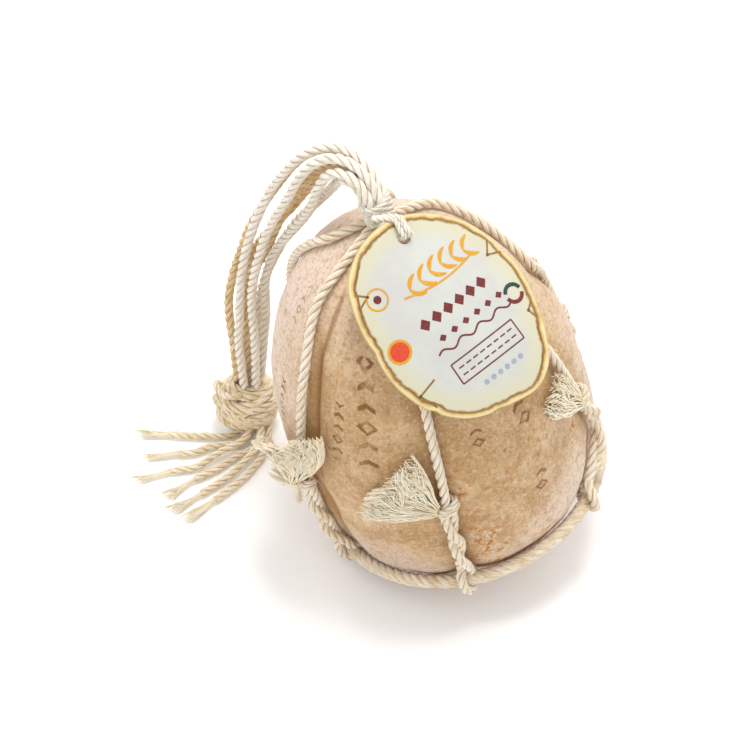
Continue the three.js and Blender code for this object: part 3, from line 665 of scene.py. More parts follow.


# Waxed rind: pale pinkish tan with painted shade in the creases, the small pits, the seam, above the hoop and low down;
# browner across the front, partly its own tone and partly painted shade; a chalky bloom with painted light at the top
# and sides; orange-brown stains; faint rows of pressed marks
def makeRindMaterial():
    material, node, shader = newMaterial("mottled pale rind")
    place = node("ShaderNodeTexCoord", output="Object")
    groove, ageing, height, seam = (
        node("ShaderNodeAttribute", {"attribute_name": name}, output="Fac")
        for name in ("groove", "ageing", "heightUp", "seam"))
    mapped = node("ShaderNodeUVMap", {"uv_map": "rindMap"})
    large, medium, small, speck = (
        node(*cloudy, {"Vector": place, "Scale": scale, "Detail": detail, "Roughness": roughness})
        for scale, detail, roughness in ((16, 4, 0.55), (52, 5, 0.6), (230, 4, 0.65), (620, 2, 0.6)))
    stain = None
    for centre, radius, strength in rindStains:
        apart = node("ShaderNodeVectorMath", {"operation": "DISTANCE"},
                     [place, tuple(toWorld(onRind(*centre)))], "Value")
        ragged = node(*add, [apart, node(*times, [node(*minus, [medium, 0.5]), radius * mm * 1.6])])
        ragged = node(*add, [ragged, node(*times, [node(*minus, [small, 0.5]), radius * mm * 2.2])])
        near = node(*ramp, [ragged, radius * mm * 0.35, radius * mm * 1.1, strength, 0.0])
        stain = near if stain is None else node(*larger, [stain, near])
    crumbs = node(*times, [stain, node(*ramp, [speck, 0.5, 0.62, 0.0, 0.6])])
    stain = node(*times, [stain, node(*ramp, [small, 0.44, 0.56, 0.04, 1.0])])
    deepStain = node(*times, [node(*ramp, [stain, 0.3, 0.8]), node(*ramp, [small, 0.5, 0.6])])
    # rows of pressed marks: two chevrons and a lozenge in turn, as a plain decoration
    marks = None
    wander = node(*cloudy, {"Vector": place, "Scale": 300, "Detail": 2, "Roughness": 0.5}, "Color")
    wander = node(*vectorTimes, [node(*vectorMinus, [wander, (0.5, 0.5, 0.5)]), (1.1, 1.1, 0)])
    for azimuth, up, lean, length, size, strength in rindMarks:
        tall = body["top"] + body["bottom"]
        shifted = node(*vectorMinus, [mapped, (azimuth / 360 + 0.5, (up + body["bottom"]) / tall, 0)])
        scaled = node(*vectorTimes, [shifted, (2 * math.pi * smoothRadius(up), tall, 0)])
        turned = node("ShaderNodeVectorRotate", {"rotation_type": "Z_AXIS"},
                      {"Vector": scaled, "Angle": math.radians(lean)})
        turned = node(*vectorAdd, [turned, wander])
        xyz = node("ShaderNodeSeparateXYZ", None, [turned], output=None)
        x, y = xyz.outputs[0], xyz.outputs[1]
        cell = size * 1.05
        step = node(*minus, [node(*remainder, [y, cell]), cell / 2])
        which = node(*remainder, [node(*whole, [node(*over, [y, cell])]), 3])
        bent = node(*add, [node(*minus, [step, size * 0.12]), node(*times, [node(*absolute, [x]), 0.55])])
        bar = node(*times, [node(*ramp, [node(*absolute, [bent]), size * 0.1, size * 0.17, 1.0, 0.0]),
                            node(*ramp, [node(*absolute, [x]), size * 0.42, size * 0.52, 1.0, 0.0])])
        diamond = node(*add, [node(*absolute, [x]), node(*times, [node(*absolute, [step]), 1.3])])
        outline = node(*absolute, [node(*minus, [diamond, size * 0.44])])
        lozenge = node(*ramp, [outline, size * 0.1, size * 0.17, 1.0, 0.0])
        isLozenge = node("ShaderNodeMath", {"operation": "GREATER_THAN"}, [which, 1.5])
        shape = node(*add, [node(*times, [lozenge, isLozenge]), node(*times, [bar, node(*minus, [1.0, isLozenge])])])
        shape = node(*times, [shape, node(*ramp, [node(*absolute, [y]), length / 2 - 1, length / 2, strength, 0.0])])
        shape = node(*times, [shape, node(*ramp, [node(*absolute, [x]), size * 0.56, size * 0.7, 1.0, 0.0])])
        marks = shape if marks is None else node(*larger, [marks, shape])
    worn = node(*cloudy, {"Vector": place, "Scale": 120, "Detail": 3, "Roughness": 0.6})
    marks = node(*times, [marks, node(*ramp, [worn, 0.36, 0.52, 0.45, 1.0])])
    base = srgb("dcc6b3")
    # where each colour lies over the one before: a value, with the span and the shares it is turned into, or a share
    for value, *span, colour in (
            # browner across the front and in the creases: partly the rind's own tone, partly painted shade
            (node(*add, [ageing, node(*times, [node(*minus, [large, 0.5]), 1.1])]), 0.1, 0.85, "d0af82"),
            (node(*add, [node(*times, [ageing, 0.42]), medium]), 0.62, 1.05, 0.0, 0.75, "ab814b"),
            (small, 0.48, 0.7, 0.0, 0.48, "a0764d"), (small, 0.28, 0.46, 0.3, 0.0, "dccbc0"),
            (speck, 0.52, 0.68, 0.0, 0.4, "8a6338"), (speck, 0.32, 0.46, 0.28, 0.0, "e8d9c8"),
            (stain, "bf8030"), (deepStain, "a0641a"), (crumbs, "ecdcc4"),
            # painted shade in the creases and pits, and along the seam beside the first stay
            (groove, 0.2, 0.9, 0.0, 0.7, "9a6a39"), (seam, 0.1, 0.95, 0.0, 0.62, "8a5c2c"),
            # painted shadow along the upper edge of the hoop, and in the deepest creases
            (node(*add, [groove, node(*times, [node(*minus, [medium, 0.5]), 0.7])]), 0.85, 1.35, 0.0, 0.75, "7d4a1e"),
            # painted shade low down, painted shadow in the gap above the hoop, then the pressed marks
            (height, -0.2, 0.12, 0.4, 0.0, "8a6c54"), (groove, 1.25, 1.48, 0.0, 0.8, "4a2a12"), (marks, "7c4808"),
            # a chalky bloom with painted light at the top and sides
            (node(*add, [height, node(*times, [node(*minus, [medium, 0.5]), 0.5])]), 0.72, 1.05, 0.0, 0.6, "e2d3ca")):
        base = node(*blend, {0: node(*ramp, [value, *span]) if span else value, 6: base, 7: srgb(colour)}, 2)
    relief = {}
    for value, distance, strength in ((medium, 0.0011, 0.5), (small, 0.0005, 0.6), (speck, 0.00015, 0.5),
                                      (node(*minus, [1.0, marks]), 0.0005, 0.7)):
        relief = {"Normal": node(*bumps, {"Height": value, "Distance": distance, "Strength": strength, **relief})}
    setInputs(shader, {
        "Base Color": base, "Roughness": node(*ramp, [medium, 0.3, 0.7, 0.5, 0.68]), "Specular IOR Level": 0.38,
        "Subsurface Weight": 0.05, "Subsurface Radius": (1.0, 0.55, 0.3), "Subsurface Scale": 0.004, **relief})
    return material


# azimuth and height on the rind, radius in mm, strength
rindStains = [
    ((11, -36), 12, 0.95), ((17, -44), 9, 0.9), ((62.5, -9), 12, 0.85), ((61, 8), 7, 0.75), ((14, -56), 9, 0.95),
    ((14, 33), 6, 0.7), ((12, 20), 6, 0.7), ((10, 4), 6, 0.7), ((9, -10), 6, 0.75), ((10, -22), 7, 0.85),
    ((12, 12), 6, 0.8), ((14, -8), 6, 0.75), ((16, -30), 9, 0.9), ((6, -48), 9, 0.7), ((33, -52), 8, 0.6),
    ((46, 22), 8, 0.45), ((-28, 9), 11, 0.4), ((38, -52), 10, 0.5), ((-18, -22), 7, 0.5), ((58, 30), 7, 0.5),
    ((52, 2), 6, 0.45), ((30, 10), 5, 0.4), ((-33, -38), 9, 0.4), ((-8, 60), 8, 0.3), ((-26, 80), 7, 0.35),
    ((120, 20), 14, 0.6), ((170, 50), 12, 0.5), ((210, -10), 15, 0.55), ((255, 30), 12, 0.5),
    ((300, -20), 11, 0.5), ((-64, 62), 7, 0.3),
]
# azimuth, height, lean in degrees, length of the row, size of a mark, strength, in mm
rindMarks = [
    (-65, 50, 8, 30, 5.6, 0.9), (-29.5, 52, 12, 34, 6.4, 0.85), (-15, 62, 10, 58, 10.0, 0.9),
    (-63, 102, 10, 20, 4.4, 0.5), (43, 34, -8, 24, 8.5, 0.85), (23.5, 37, 6, 16, 6.5, 0.8),
    (40, -12, 16, 22, 8.0, 0.75), (68, 53, -6, 20, 5.4, 0.7), (145, 40, 0, 44, 9.0, 0.7),
    (215, 36, 0, 48, 9.0, 0.7), (160, -25, 84, 40, 7.0, 0.6), (262, 20, 90, 36, 7.0, 0.6),
]


def columnAzimuths():
    middle, width, extra = rind["dense"]
    fine = [-180 + 360 * k / 3600 for k in range(3601)]
    run = [0.0]
    for a in fine[1:]:
        run.append(run[-1] + 1 + extra * math.exp(-((a - middle) / width) ** 2))
    result, j = [], 0
    for i in range(rind["around"]):
        want = run[-1] * i / rind["around"]
        while run[j + 1] < want:
            j += 1
        result.append(mix(fine[j], fine[j + 1], (want - run[j]) / (run[j + 1] - run[j])))
    return result


# How near a place is to the sharp seam beside the first stay, 1 on it
def seamAt(azimuth, height, width):
    route = rind["seam"]
    if not route[-1][1] < height < route[0][1]:
        return 0.0
    apart = math.radians(azimuth - routeAzimuth(route, height)) * smoothRadius(height)
    apart += 0.8 * noise.noise(Vector((height * 0.05, 4, 1)))
    fade = smoothStep(height, route[-1][1], route[-1][1] + 25) * (1 - smoothStep(height, route[0][1] - 12, route[0][1]))
    return math.exp(-(apart / width) ** 2) * fade


def makeRind():
    around, rings = rind["around"], rind["rings"]
    azimuths = columnAzimuths()
    random.seed(7)
    pits = [[random.uniform(*span) for span in ((-180, 180), (-80, 112), (0.35, 0.9), (0.15, 0.5))]
            for _ in range(rind["pits"])]
    shares = [math.sin(-math.pi / 2 + math.pi * j / rings) for j in range(rings + 1)]
    levels = [share * (body["top"] if share >= 0 else body["bottom"]) for share in shares]
    points, grooveShades, bloomAndLightValues, agesAndShade, seamShades = [], [], [], [], []
    for height in levels:
        for azimuth in azimuths:
            angle = math.radians(azimuth)
            crease = creaseAt(azimuth, height)
            seam = seamAt(azimuth, height, rind["seamWidth"])
            narrow = creaseAt(azimuth, height, rind["narrow"])
            radius = smoothRadius(height)
            here = Vector((radius * math.sin(angle), -radius * math.cos(angle), height))
            swell = rind["swell"] * (noise.noise(here * 0.021) + 0.5 * noise.noise(here * 0.055 + Vector((9, 2, 4))))
            lumps = rind["lump"] * noise.noise(here * 0.16) + rind["grain"] * noise.noise(here * 0.45)
            flat = smoothStep(radius, 0, 30)
            pressed = rind["pressDepth"] * math.exp(-((height - cords["hoopHeight"]) / rind["pressWidth"]) ** 2)
            inner = radius - pressed - body["creaseDepth"] * crease - rind["seamDepth"] * seam
            inner = max(0, inner + (swell + lumps - 0.3 - 0.7 * narrow) * flat)
            p = leaning @ Vector((inner * math.sin(angle), -inner * math.cos(angle), height))
            p.z = max(0, p.z)
            points.append(p * mm)
            # painted shadow along the upper edge of the hoop
            hoopShadow = math.exp(-((height - cords["hoopHeight"] - 2.7) / 4.2) ** 2)
            grooveShades.append(min(1.6, 0.7 * narrow + 1.5 * hoopShadow))
            # painted shade along the seam, with a softer band beside it
            seamShades.append(min(1, seam + 0.35 * seamAt(azimuth - 1.5, height, 3.6 * rind["seamWidth"])))
            # rises towards the top and the sides: low values take painted shade, high values a chalky bloom with
            # painted light
            bloomAndLightValues.append((p.z - 60) / 150 * 0.6 + 0.25 * smoothStep(p.x, 40, 90) + 0.2 * smoothStep(-p.x, 20, 70))
            # browner across the front and in the creases, partly its own tone and partly painted shade; less brown at
            # the top and towards the bottom
            front = math.exp(-((azimuth - rind["front"]) / rind["frontWidth"]) ** 2)
            ageAndShadeHere = 0.30 + 0.62 * front - 0.35 * smoothStep(height, 60, 118) - 0.7 * (1 - smoothStep(height, -62, -18))
            agesAndShade.append(min(1, max(0, ageAndShadeHere + 0.35 * crease)))
    for azimuth, height, _, depth in pits:
        share = height / (body["top"] if height >= 0 else body["bottom"])
        row = round((math.asin(share) / math.pi + 0.5) * rings)
        index = row * around + min(range(around), key=lambda k: abs(azimuths[k] - azimuth))
        inward = (toWorld((0, 0, height * 0.8)) - points[index]).normalized()
        points[index] = points[index] + inward * depth * rind["pitDepth"] * mm
        # painted shade in each pit
        grooveShades[index] = max(grooveShades[index], 0.9)
    piece = meshObject("rind", points, gridFaces(around, rings + 1, True), makeRindMaterial())
    mesh = piece.data
    for name, values in (("groove", grooveShades), ("ageing", agesAndShade), ("heightUp", bloomAndLightValues), ("seam", seamShades)):
        keepValues(piece, name, values)
    layer = mesh.uv_layers.new(name="rindMap")
    for polygon in mesh.polygons:
        i = polygon.index % around
        for loop in polygon.loop_indices:
            row, column = divmod(mesh.loops[loop].vertex_index, around)
            if i == around - 1 and column == 0:
                column = around
            turn = 1.0 if column == around else (azimuths[column] + 180) / 360
            layer.data[loop].uv = (turn, (levels[row] + body["bottom"]) / (body["top"] + body["bottom"]))
    return piece


finishPiece(makeRind(), "rind", "cheese")
print("rind made")

# hoop, stays, hitches and tassels
pairOffset = cords["radius"] + cords["gap"] / 2
loopRadius = cords["hoopRope"] + cords["radius"] + 0.4


def makeHoopPiece():
    count, turns, radius = 240, 24, cords["hoopRadius"]
    points = [toWorld((x, y, cords["hoopHeight"])) for x, y in circleSpots(radius, count, start=1.9)]
    pitch = 2 * math.pi * radius / turns
    return makeRope("hoop", points, hoopRopeMaterial, cords["hoopRope"], pitch, strands=4, seed=80, fibres=2.6)


finishPiece(makeHoopPiece(), "cord", "hoop")


def stayRoute(stay):
    angle = math.radians(stay["slot"])
    x, y, z = cords["neck"]
    slot = lambda spread, height: Vector((x + spread * math.cos(angle), y + spread * math.sin(angle), height))
    under = z - cords["neckLength"] / 2 + 1.5
    points = [slot(cords["slotRadius"], under), slot(cords["slotRadius"] + 1.2, under - 5)]
    over = [onRind(azimuth, height, cords["lift"]) for azimuth, height in stay["route"]]
    guide = [points[1], *over, *(twistedRind(stay, height, -1) for height in range(-3, -53, -7))]
    count = 56
    for at in evenly(guide, count)[1:]:
        azimuth = math.degrees(math.atan2(at.x, -at.y))
        clear = onRind(azimuth, min(at.z, body["top"] - 1), cords["lift"])
        inside = math.hypot(at.x, at.y) < math.hypot(clear.x, clear.y) and at.z < 100
        points.append(besideAt(azimuth, math.hypot(clear.x, clear.y), at.z, 0) if inside else at)
    points.append(besideAt(stay["ring"], cords["hoopRadius"] + loopRadius, cords["hoopHeight"] + 8, -pairOffset))
    turns = 8
    for i in range(turns + 1):
        a = -math.pi * i / turns
        sideways = mix(-pairOffset, pairOffset, i / turns)
        points.append(besideAt(stay["ring"], cords["hoopRadius"] + loopRadius * math.cos(a),
                               cords["hoopHeight"] + loopRadius * math.sin(a), sideways))
    points.append(besideRind(stay["ring"], -57, pairOffset))
    return points + [twistedRind(stay, height, 1) for height in (*range(-52, 0, 7), 3)]


# Two turns of cord round the pair, drawn tight
def hitchPath(stay):
    azimuth = stayAzimuth(stay, cords["hitchHeight"])
    middle = onRind(azimuth, cords["hitchHeight"], cords["lift"])
    radius = math.hypot(middle.x, middle.y)
    points = []
    for i in range(61):
        a = math.radians(-60 + 560 * i / 60)
        sideways = (pairOffset + cords["radius"] + 0.7) * math.cos(a)
        outward = (cords["radius"] + 1.4) * math.sin(a)
        up = cords["hitchHeight"] + mix(2.2, -2.2, i / 60) + 1.3 * math.cos(a)
        points.append(toWorld(besideAt(azimuth, radius + outward, up, sideways)))
    return points


# beside and above the hitch, height of the root, the upper and lower corner of the fan from the stay (turn in
# degrees, height, lift off the rind), swell of the middle, number of fibres
tassels = {
    "a": (0, 6, 5.6, (23, 62, 9), (-22, 10, 20), 20, 820), "b": (-3.5, 2, 1.2, (-6, 49, 3), (-35, 0, 3), 5, 560),
    "c": (-3.5, 2, 1.2, (-10, 38, 3), (-24, 24, 3), 4, 260), "d": (3.5, 2, 1.2, (8, 44, 3), (27, 6, 3), -5, 260),
    "e": (-3.5, 2, 1.2, (-6, 44, 3), (-26, 0, 3), 5, 380), "f": (-3.5, 2, 1.2, (-8, 40, 3), (-32, 4, 3), 5, 380),
}


def tasselRows(stay, beside, above, root, upper, lower, swelling, rows=9, columns=9):
    azimuth = stayAzimuth(stay, cords["hitchHeight"])
    result = []
    for row in range(rows + 1):
        along = row / rows
        line = []
        for column in range(columns + 1):
            across = column / columns
            turn, tipHeight, lift = (mix(low, high, across) for low, high in zip(lower, upper))
            rootHeight = cords["hitchHeight"] + above + 4 * (across - 0.5)
            out = along * (1 + 0.12 * math.sin(math.pi * across) * along)
            swell = swelling * math.sin(math.pi * along) * (across - 0.5)
            puff = mix(2.4, 1.4, along) * (0.4 + 0.6 * math.sin(math.pi * (0.1 + 0.8 * across)))
            line.append(toWorld(onRind(azimuth + mix(beside, turn, out) + swell, mix(rootHeight, tipHeight, out),
                                       mix(root, lift, along * along) + puff + 0.4)))
        result.append(line)
    return result


for number, (name, stay) in enumerate(stays.items()):
    path = evenly([Vector(p) for p in stayRoute(stay)], 320)
    path = [toWorld(p) for p in path]
    piece = makeRope("stay" + name.upper(), path, stayRopeMaterial, 2.4, 18, seed=90 + number, fibres=1.1)
    finishPiece(piece, "cord", "stay_" + name)
    piece = makeRope("hitch" + name.upper(), hitchPath(stay), stayRopeMaterial, 1.7, 13, seed=100 + number, fibres=1.6)
    finishPiece(piece, "cord", "hitch_" + name)
    *fan, fibres = tassels[name]
    piece = makeFan("tassel" + name.upper(), tasselRows(stay, *fan), frayMaterial, int(fibres * 1.7), 9, 110 + number,
                    0.07, 3.0, 0.14, 0.25, 0.66)
    finishPiece(piece, "fray", "tassel_" + name)
print("ropes made")


# three frayed ends of the first hitch, hanging down beside it
def makeLooseEnds():
    # where each starts and ends, as turn, height and lift off the rind, and its width
    ends = [((-62, 3, 7), (-79, -9, 15), 2.6), ((-60, 0, 7), (-66, -24, 9), 2.4), ((-60, 1, 8), (-73, -4, 17), 2.0)]
    parts = []
    for i, (root, tip, wide) in enumerate(ends):
        start, end = toWorld(onRind(*root)), toWorld(onRind(*tip))
        side = (end - start).cross(Vector((0.6, -1, 0.4))).normalized()
        rows = []
        for r in range(6):
            t = r / 5
            centre = start.lerp(end, t) + Vector((0, 0, -2.5 * mm * math.sin(math.pi * t)))
            rows.append([centre + side * (mix(0.9, wide, t) * mm * (c / 4 * 2 - 1)) for c in range(5)])
        parts.append(makeFan(f"looseEnd{i}", rows, frayMaterial, 90, 4, 140 + i, 0.14, 1.4, 0.2, 0.2, 0.55))
    return joined("looseEndsA", parts)


finishPiece(makeLooseEnds(), "fray")

# whipping round the neck
whipping = {"turns": 6.3, "reach": 6.9, "half": 6.0, "cord": 1.35, "core": 6.4, "coreFrom": -7, "coreTo": 8}


def makeWhippingPiece():
    x, y, z = cords["neck"]
    points, count = [], 260
    for i in range(count + 1):
        a = 2 * math.pi * whipping["turns"] * i / count
        radius = whipping["reach"] + 0.2 * math.sin(3 * a)
        points.append(toWorld((x + radius * math.cos(a), y + radius * math.sin(a),
                               z + mix(-whipping["half"], whipping["half"], i / count) + 0.25 * math.sin(a * 0.9))))
    turns = makeRope("whippingTurns", points, fineCordMaterial, whipping["cord"], 11, seed=120, fibres=1.3)
    core, around, levels, tip = [], 20, 6, 0.2
    for j in range(levels + 1):
        swell = math.sin(math.pi * j / levels)
        radius = mix(tip, whipping["core"], swell ** 0.35)
        up = z + mix(whipping["coreFrom"], whipping["coreTo"], j / levels)
        core += [toWorld((*spot, up)) for spot in circleSpots(radius, around, (x, y))[:-1]]
    faces = gridFaces(around, levels + 1, True)
    faces += [tuple(reversed(range(around))), tuple(range(levels * around, (levels + 1) * around))]
    inside = meshObject("whippingCore", core, faces, fineCordMaterial)
    # the core inside the turns takes about half of the painted shade between strands
    keepValues(inside, "deep", [0.5] * len(core))
    return joined("whipping", [turns, inside])


finishPiece(makeWhippingPiece(), "cord", "whipping")

# tag
tag = {
    "outline": [
        (10, 52), (28, 42), (39, 28), (46, 8), (46, -14), (43, -30), (38, -41), (29, -48), (14, -50), (-1, -50),
        (-11, -47), (-20, -41), (-28, -33), (-36, -19), (-40, -2), (-42, 18), (-39, 34), (-27, 47), (-13, 53), (-1, 54),
    ],
    "thickness": 1.2, "azimuth": 38, "height": 93, "tilt": 51, "spin": -15, "shift": -3, "lift": 4.5,
    "bendRadius": 150, "bendTurn": 225, "hole": (-4, 44), "holeRadius": 3.5, "around": 180, "rings": 22,
    "tears": [(0.42, 0.9), (0.56, 0.7), (0.70, 0.9), (0.12, 0.8)], "tearWidth": 2.6, "mapSize": 110, "inkLift": 0.10,
}
tagMatrix = (leaning @ Matrix.Rotation(math.radians(tag["azimuth"]), 4, "Z")
             @ Matrix.Translation((0, -smoothRadius(tag["height"]), onRind(0, tag["height"]).z))
             @ Matrix.Rotation(math.radians(tag["tilt"]), 4, "X")
             @ Matrix.Translation((tag["shift"], 0, tag["lift"])) @ Matrix.Rotation(math.radians(tag["spin"]), 4, "Z"))


def tagSag(x, y):
    turn = math.radians(tag["bendTurn"])
    return -(x * math.cos(turn) + y * math.sin(turn)) ** 2 / (2 * tag["bendRadius"])


def tagPoint(x, y, above=0.0):
    return (tagMatrix @ Vector((x, y, tagSag(x, y) + above))) * mm


def closedPoint(points, t):
    count = len(points)
    turn = [points[(i - 2) % count] for i in range(count + 5)]
    place = (t % 1.0) * count
    return curvePoint(turn, (place + 2) / (count + 4))


# Card printed like old parchment: pale grey cream, a scorched wavy border and fine grain
def makeCardMaterial():
    material, node, shader = newMaterial("parchment printed card")
    place = node("ShaderNodeTexCoord", output="Object")
    mapped = node("ShaderNodeUVMap", {"uv_map": "cardMap"})
    edge = node("ShaderNodeAttribute", {"attribute_name": "fromEdge"}, output="Fac")
    cloud, ripple, grain = (
        node(*cloudy, {"Vector": mapped, "Scale": scale, "Detail": detail, "Roughness": 0.6})
        for scale, detail in ((4.5, 4), (9, 4), (190, 3)))
    wavy = node(*add, [edge, node(*times, [node(*minus, [ripple, 0.5]), 4.6])])
    band = node(*blend, {0: node(*ramp, [wavy, 0.6, 2.9]), 6: srgb("e0cf9c"), 7: srgb("b88c36")}, 2)
    line = node(*times, [node(*ramp, [wavy, 2.0, 2.8]), node(*ramp, [wavy, 3.2, 4.3, 1.0, 0.0])])
    base = srgb("c8cac1")
    for value, *span, colour in (
            (cloud, 0.35, 0.65, srgb("c2c1bc")), (wavy, 4.0, 16, 0.8, 0.0, srgb("cdc7a4")),
            (wavy, 2.8, 3.6, 1.0, 0.0, band),
            (node(*times, [line, node(*ramp, [ripple, 0.3, 0.65, 1.0, 0.7])]), srgb("7a5216")),
            (edge, 0.1, 0.6, 0.6, 0.0, srgb("a8853c")), (grain, 0.4, 0.7, 0.0, 0.08, srgb("b9a78a"))):
        base = node(*blend, {0: node(*ramp, [value, *span]) if span else value, 6: base, 7: colour}, 2)
    wavyRelief = node(*bumps, {"Height": cloud, "Distance": 0.0006, "Strength": 0.25})
    setInputs(shader, {
        "Base Color": base, "Roughness": node(*ramp, [grain, 0.3, 0.7, 0.34, 0.46]), "Specular IOR Level": 0.5,
        "Normal": node(*bumps, {"Height": grain, "Distance": 0.00008, "Strength": 0.5, "Normal": wavyRelief})})
    return material


def makeTagPiece():
    outline = [Vector((x, y, 0)) for x, y in tag["outline"]]
    around, rings = tag["around"], tag["rings"]
    edge = []
    for i in range(around):
        t = i / around
        p = closedPoint(outline, t)
        inward = (Vector((0, 0, 0)) - p).normalized()
        bite = 0.3 * noise.noise(Vector((t * 40, 3, 0))) + 0.12 * noise.noise(Vector((t * 150, 8, 0)))
        for centre, depth in tag["tears"]:
            bite += depth * max(0, 1 - abs((t - centre + 0.5) % 1 - 0.5) * around / tag["tearWidth"])
        edge.append(p + inward * bite)
    hole = Vector((*tag["hole"], 0))

    def fromEdge(p):
        best = 1e9
        for a, b in zip(edge, edge[1:] + edge[:1]):
            run = b - a
            share = min(1, max(0, (p - a).dot(run) / run.length_squared))
            best = min(best, (a + run * share - p).length_squared)
        return math.sqrt(best)

    points, distances, spots = [], [], []
    for front in (False, True):
        for ring in range(rings + 1):
            # rings run from the string hole out to the edge, closer together near the edge
            share = 1 - (1 - ring / rings) ** 1.7
            half = tag["thickness"] * (0.92 if ring in (0, rings) else 1.0)
            for a in edge:
                p = (hole + (a - hole).normalized() * tag["holeRadius"]).lerp(a, share)
                points.append(tagPoint(p.x, p.y, half if front else tag["thickness"] - half))
                spots.append((p.x / tag["mapSize"] + 0.5, p.y / tag["mapSize"] + 0.5))
                if front:
                    distances.append(fromEdge(p))
    sheet = len(distances)
    faces = []
    for a, b, c, d in gridFaces(around, rings + 1, True):
        faces += [(a, b, c, d), (a + sheet, d + sheet, c + sheet, b + sheet)]
    for ring in (0, rings):
        for i in range(around):
            a, b = ring * around + i, ring * around + (i + 1) % around
            faces.append((b, a, a + sheet, b + sheet) if ring == 0 else (a, b, b + sheet, a + sheet))
    piece = meshObject("tagCard", points, faces, makeCardMaterial())
    mesh = piece.data
    keepValues(piece, "fromEdge", distances * 2)
    layer = mesh.uv_layers.new(name="cardMap")
    for loop in mesh.loops:
        layer.data[loop.index].uv = spots[loop.vertex_index]
    mesh.update()
    mesh.set_sharp_from_angle(angle=math.radians(40))
    return piece


finishPiece(makeTagPiece(), "card", "tag")
print("tag made")


# printed motifs on the card: plain shapes in a layout of their own
def makeInkMaterial(name, colour, other):
    material, node, shader = newMaterial(name)
    place = node("ShaderNodeTexCoord", output="Object")
    patchy = node(*cloudy, {"Vector": place, "Scale": 900, "Detail": 2, "Roughness": 0.6})
    tone = node(*blend, {0: node(*ramp, [patchy, 0.35, 0.7, 0.0, 0.6]), 6: srgb(colour), 7: srgb(other)}, 2)
    setInputs(shader, {
        "Base Color": tone, "Roughness": node(*ramp, [patchy, 0.3, 0.7, 0.36, 0.5]),
        "Normal": node(*bumps, {"Height": patchy, "Distance": 0.00003, "Strength": 0.4})})
    return material


inks = {
    "red": makeInkMaterial("orange red ink", "cf381c", "d95a2a"),
    "gold": makeInkMaterial("golden ink", "cf8f10", "dca830"),
    "wine": makeInkMaterial("dark red ink", "641a1c", "80302e"),
    "green": makeInkMaterial("dark green ink", "1e3427", "38523c"),
    "grey": makeInkMaterial("blue grey ink", "8b9aa8", "a9b5be"),
    "border": makeInkMaterial("golden brown border ink", "83601f", "a07a36"),
    "scorch": makeInkMaterial("scorched brown ink", "4a3412", "8a6a2c"),
}


# Flat shapes laid on the card, in one mesh with a material for each ink
class Print:
    def __init__(self):
        self.points, self.faces, self.inks = [], [], []

    # a stroke along a line of (x, y); the width may change along it
    def strip(self, line, width, ink):
        start, last = len(self.points), len(line) - 1
        for k, (x, y) in enumerate(line):
            before, after = line[max(0, k - 1)], line[min(last, k + 1)]
            along = Vector((after[0] - before[0], after[1] - before[1])).normalized()
            side = Vector((-along.y, along.x)) * (width(k / last) if callable(width) else width) / 2
            for sign in (-1, 1):
                self.points.append(tagPoint(x + sign * side.x, y + sign * side.y, tag["thickness"] + tag["inkLift"]))
        for a in range(start, start + 2 * last, 2):
            self.faces.append((a, a + 2, a + 3, a + 1))
            self.inks.append(ink)

    def disc(self, x, y, radius, ink, above=tag["inkLift"]):
        start, count = len(self.points), 40
        spots = [(x, y), *circleSpots(radius, count, (x, y))[:-1]]
        self.points += [tagPoint(*spot, tag["thickness"] + above) for spot in spots]
        for k in range(count):
            self.faces.append((start, start + 1 + k, start + 1 + (k + 1) % count))
            self.inks.append(ink)

    def ring(self, x, y, radius, width, ink, low=0, high=360):
        count = max(8, int((high - low) / 8))
        angles = [math.radians(mix(low, high, k / count)) for k in range(count + 1)]
        self.strip([(x + radius * math.cos(a), y + radius * math.sin(a)) for a in angles], width, ink)

    def piece(self, name):
        result = meshObject(name, self.points, self.faces, smooth=False)
        kinds = list(dict.fromkeys(self.inks))
        for kind in kinds:
            result.data.materials.append(inks[kind])
        for polygon, ink in zip(result.data.polygons, self.inks):
            polygon.material_index = kinds.index(ink)
        return result


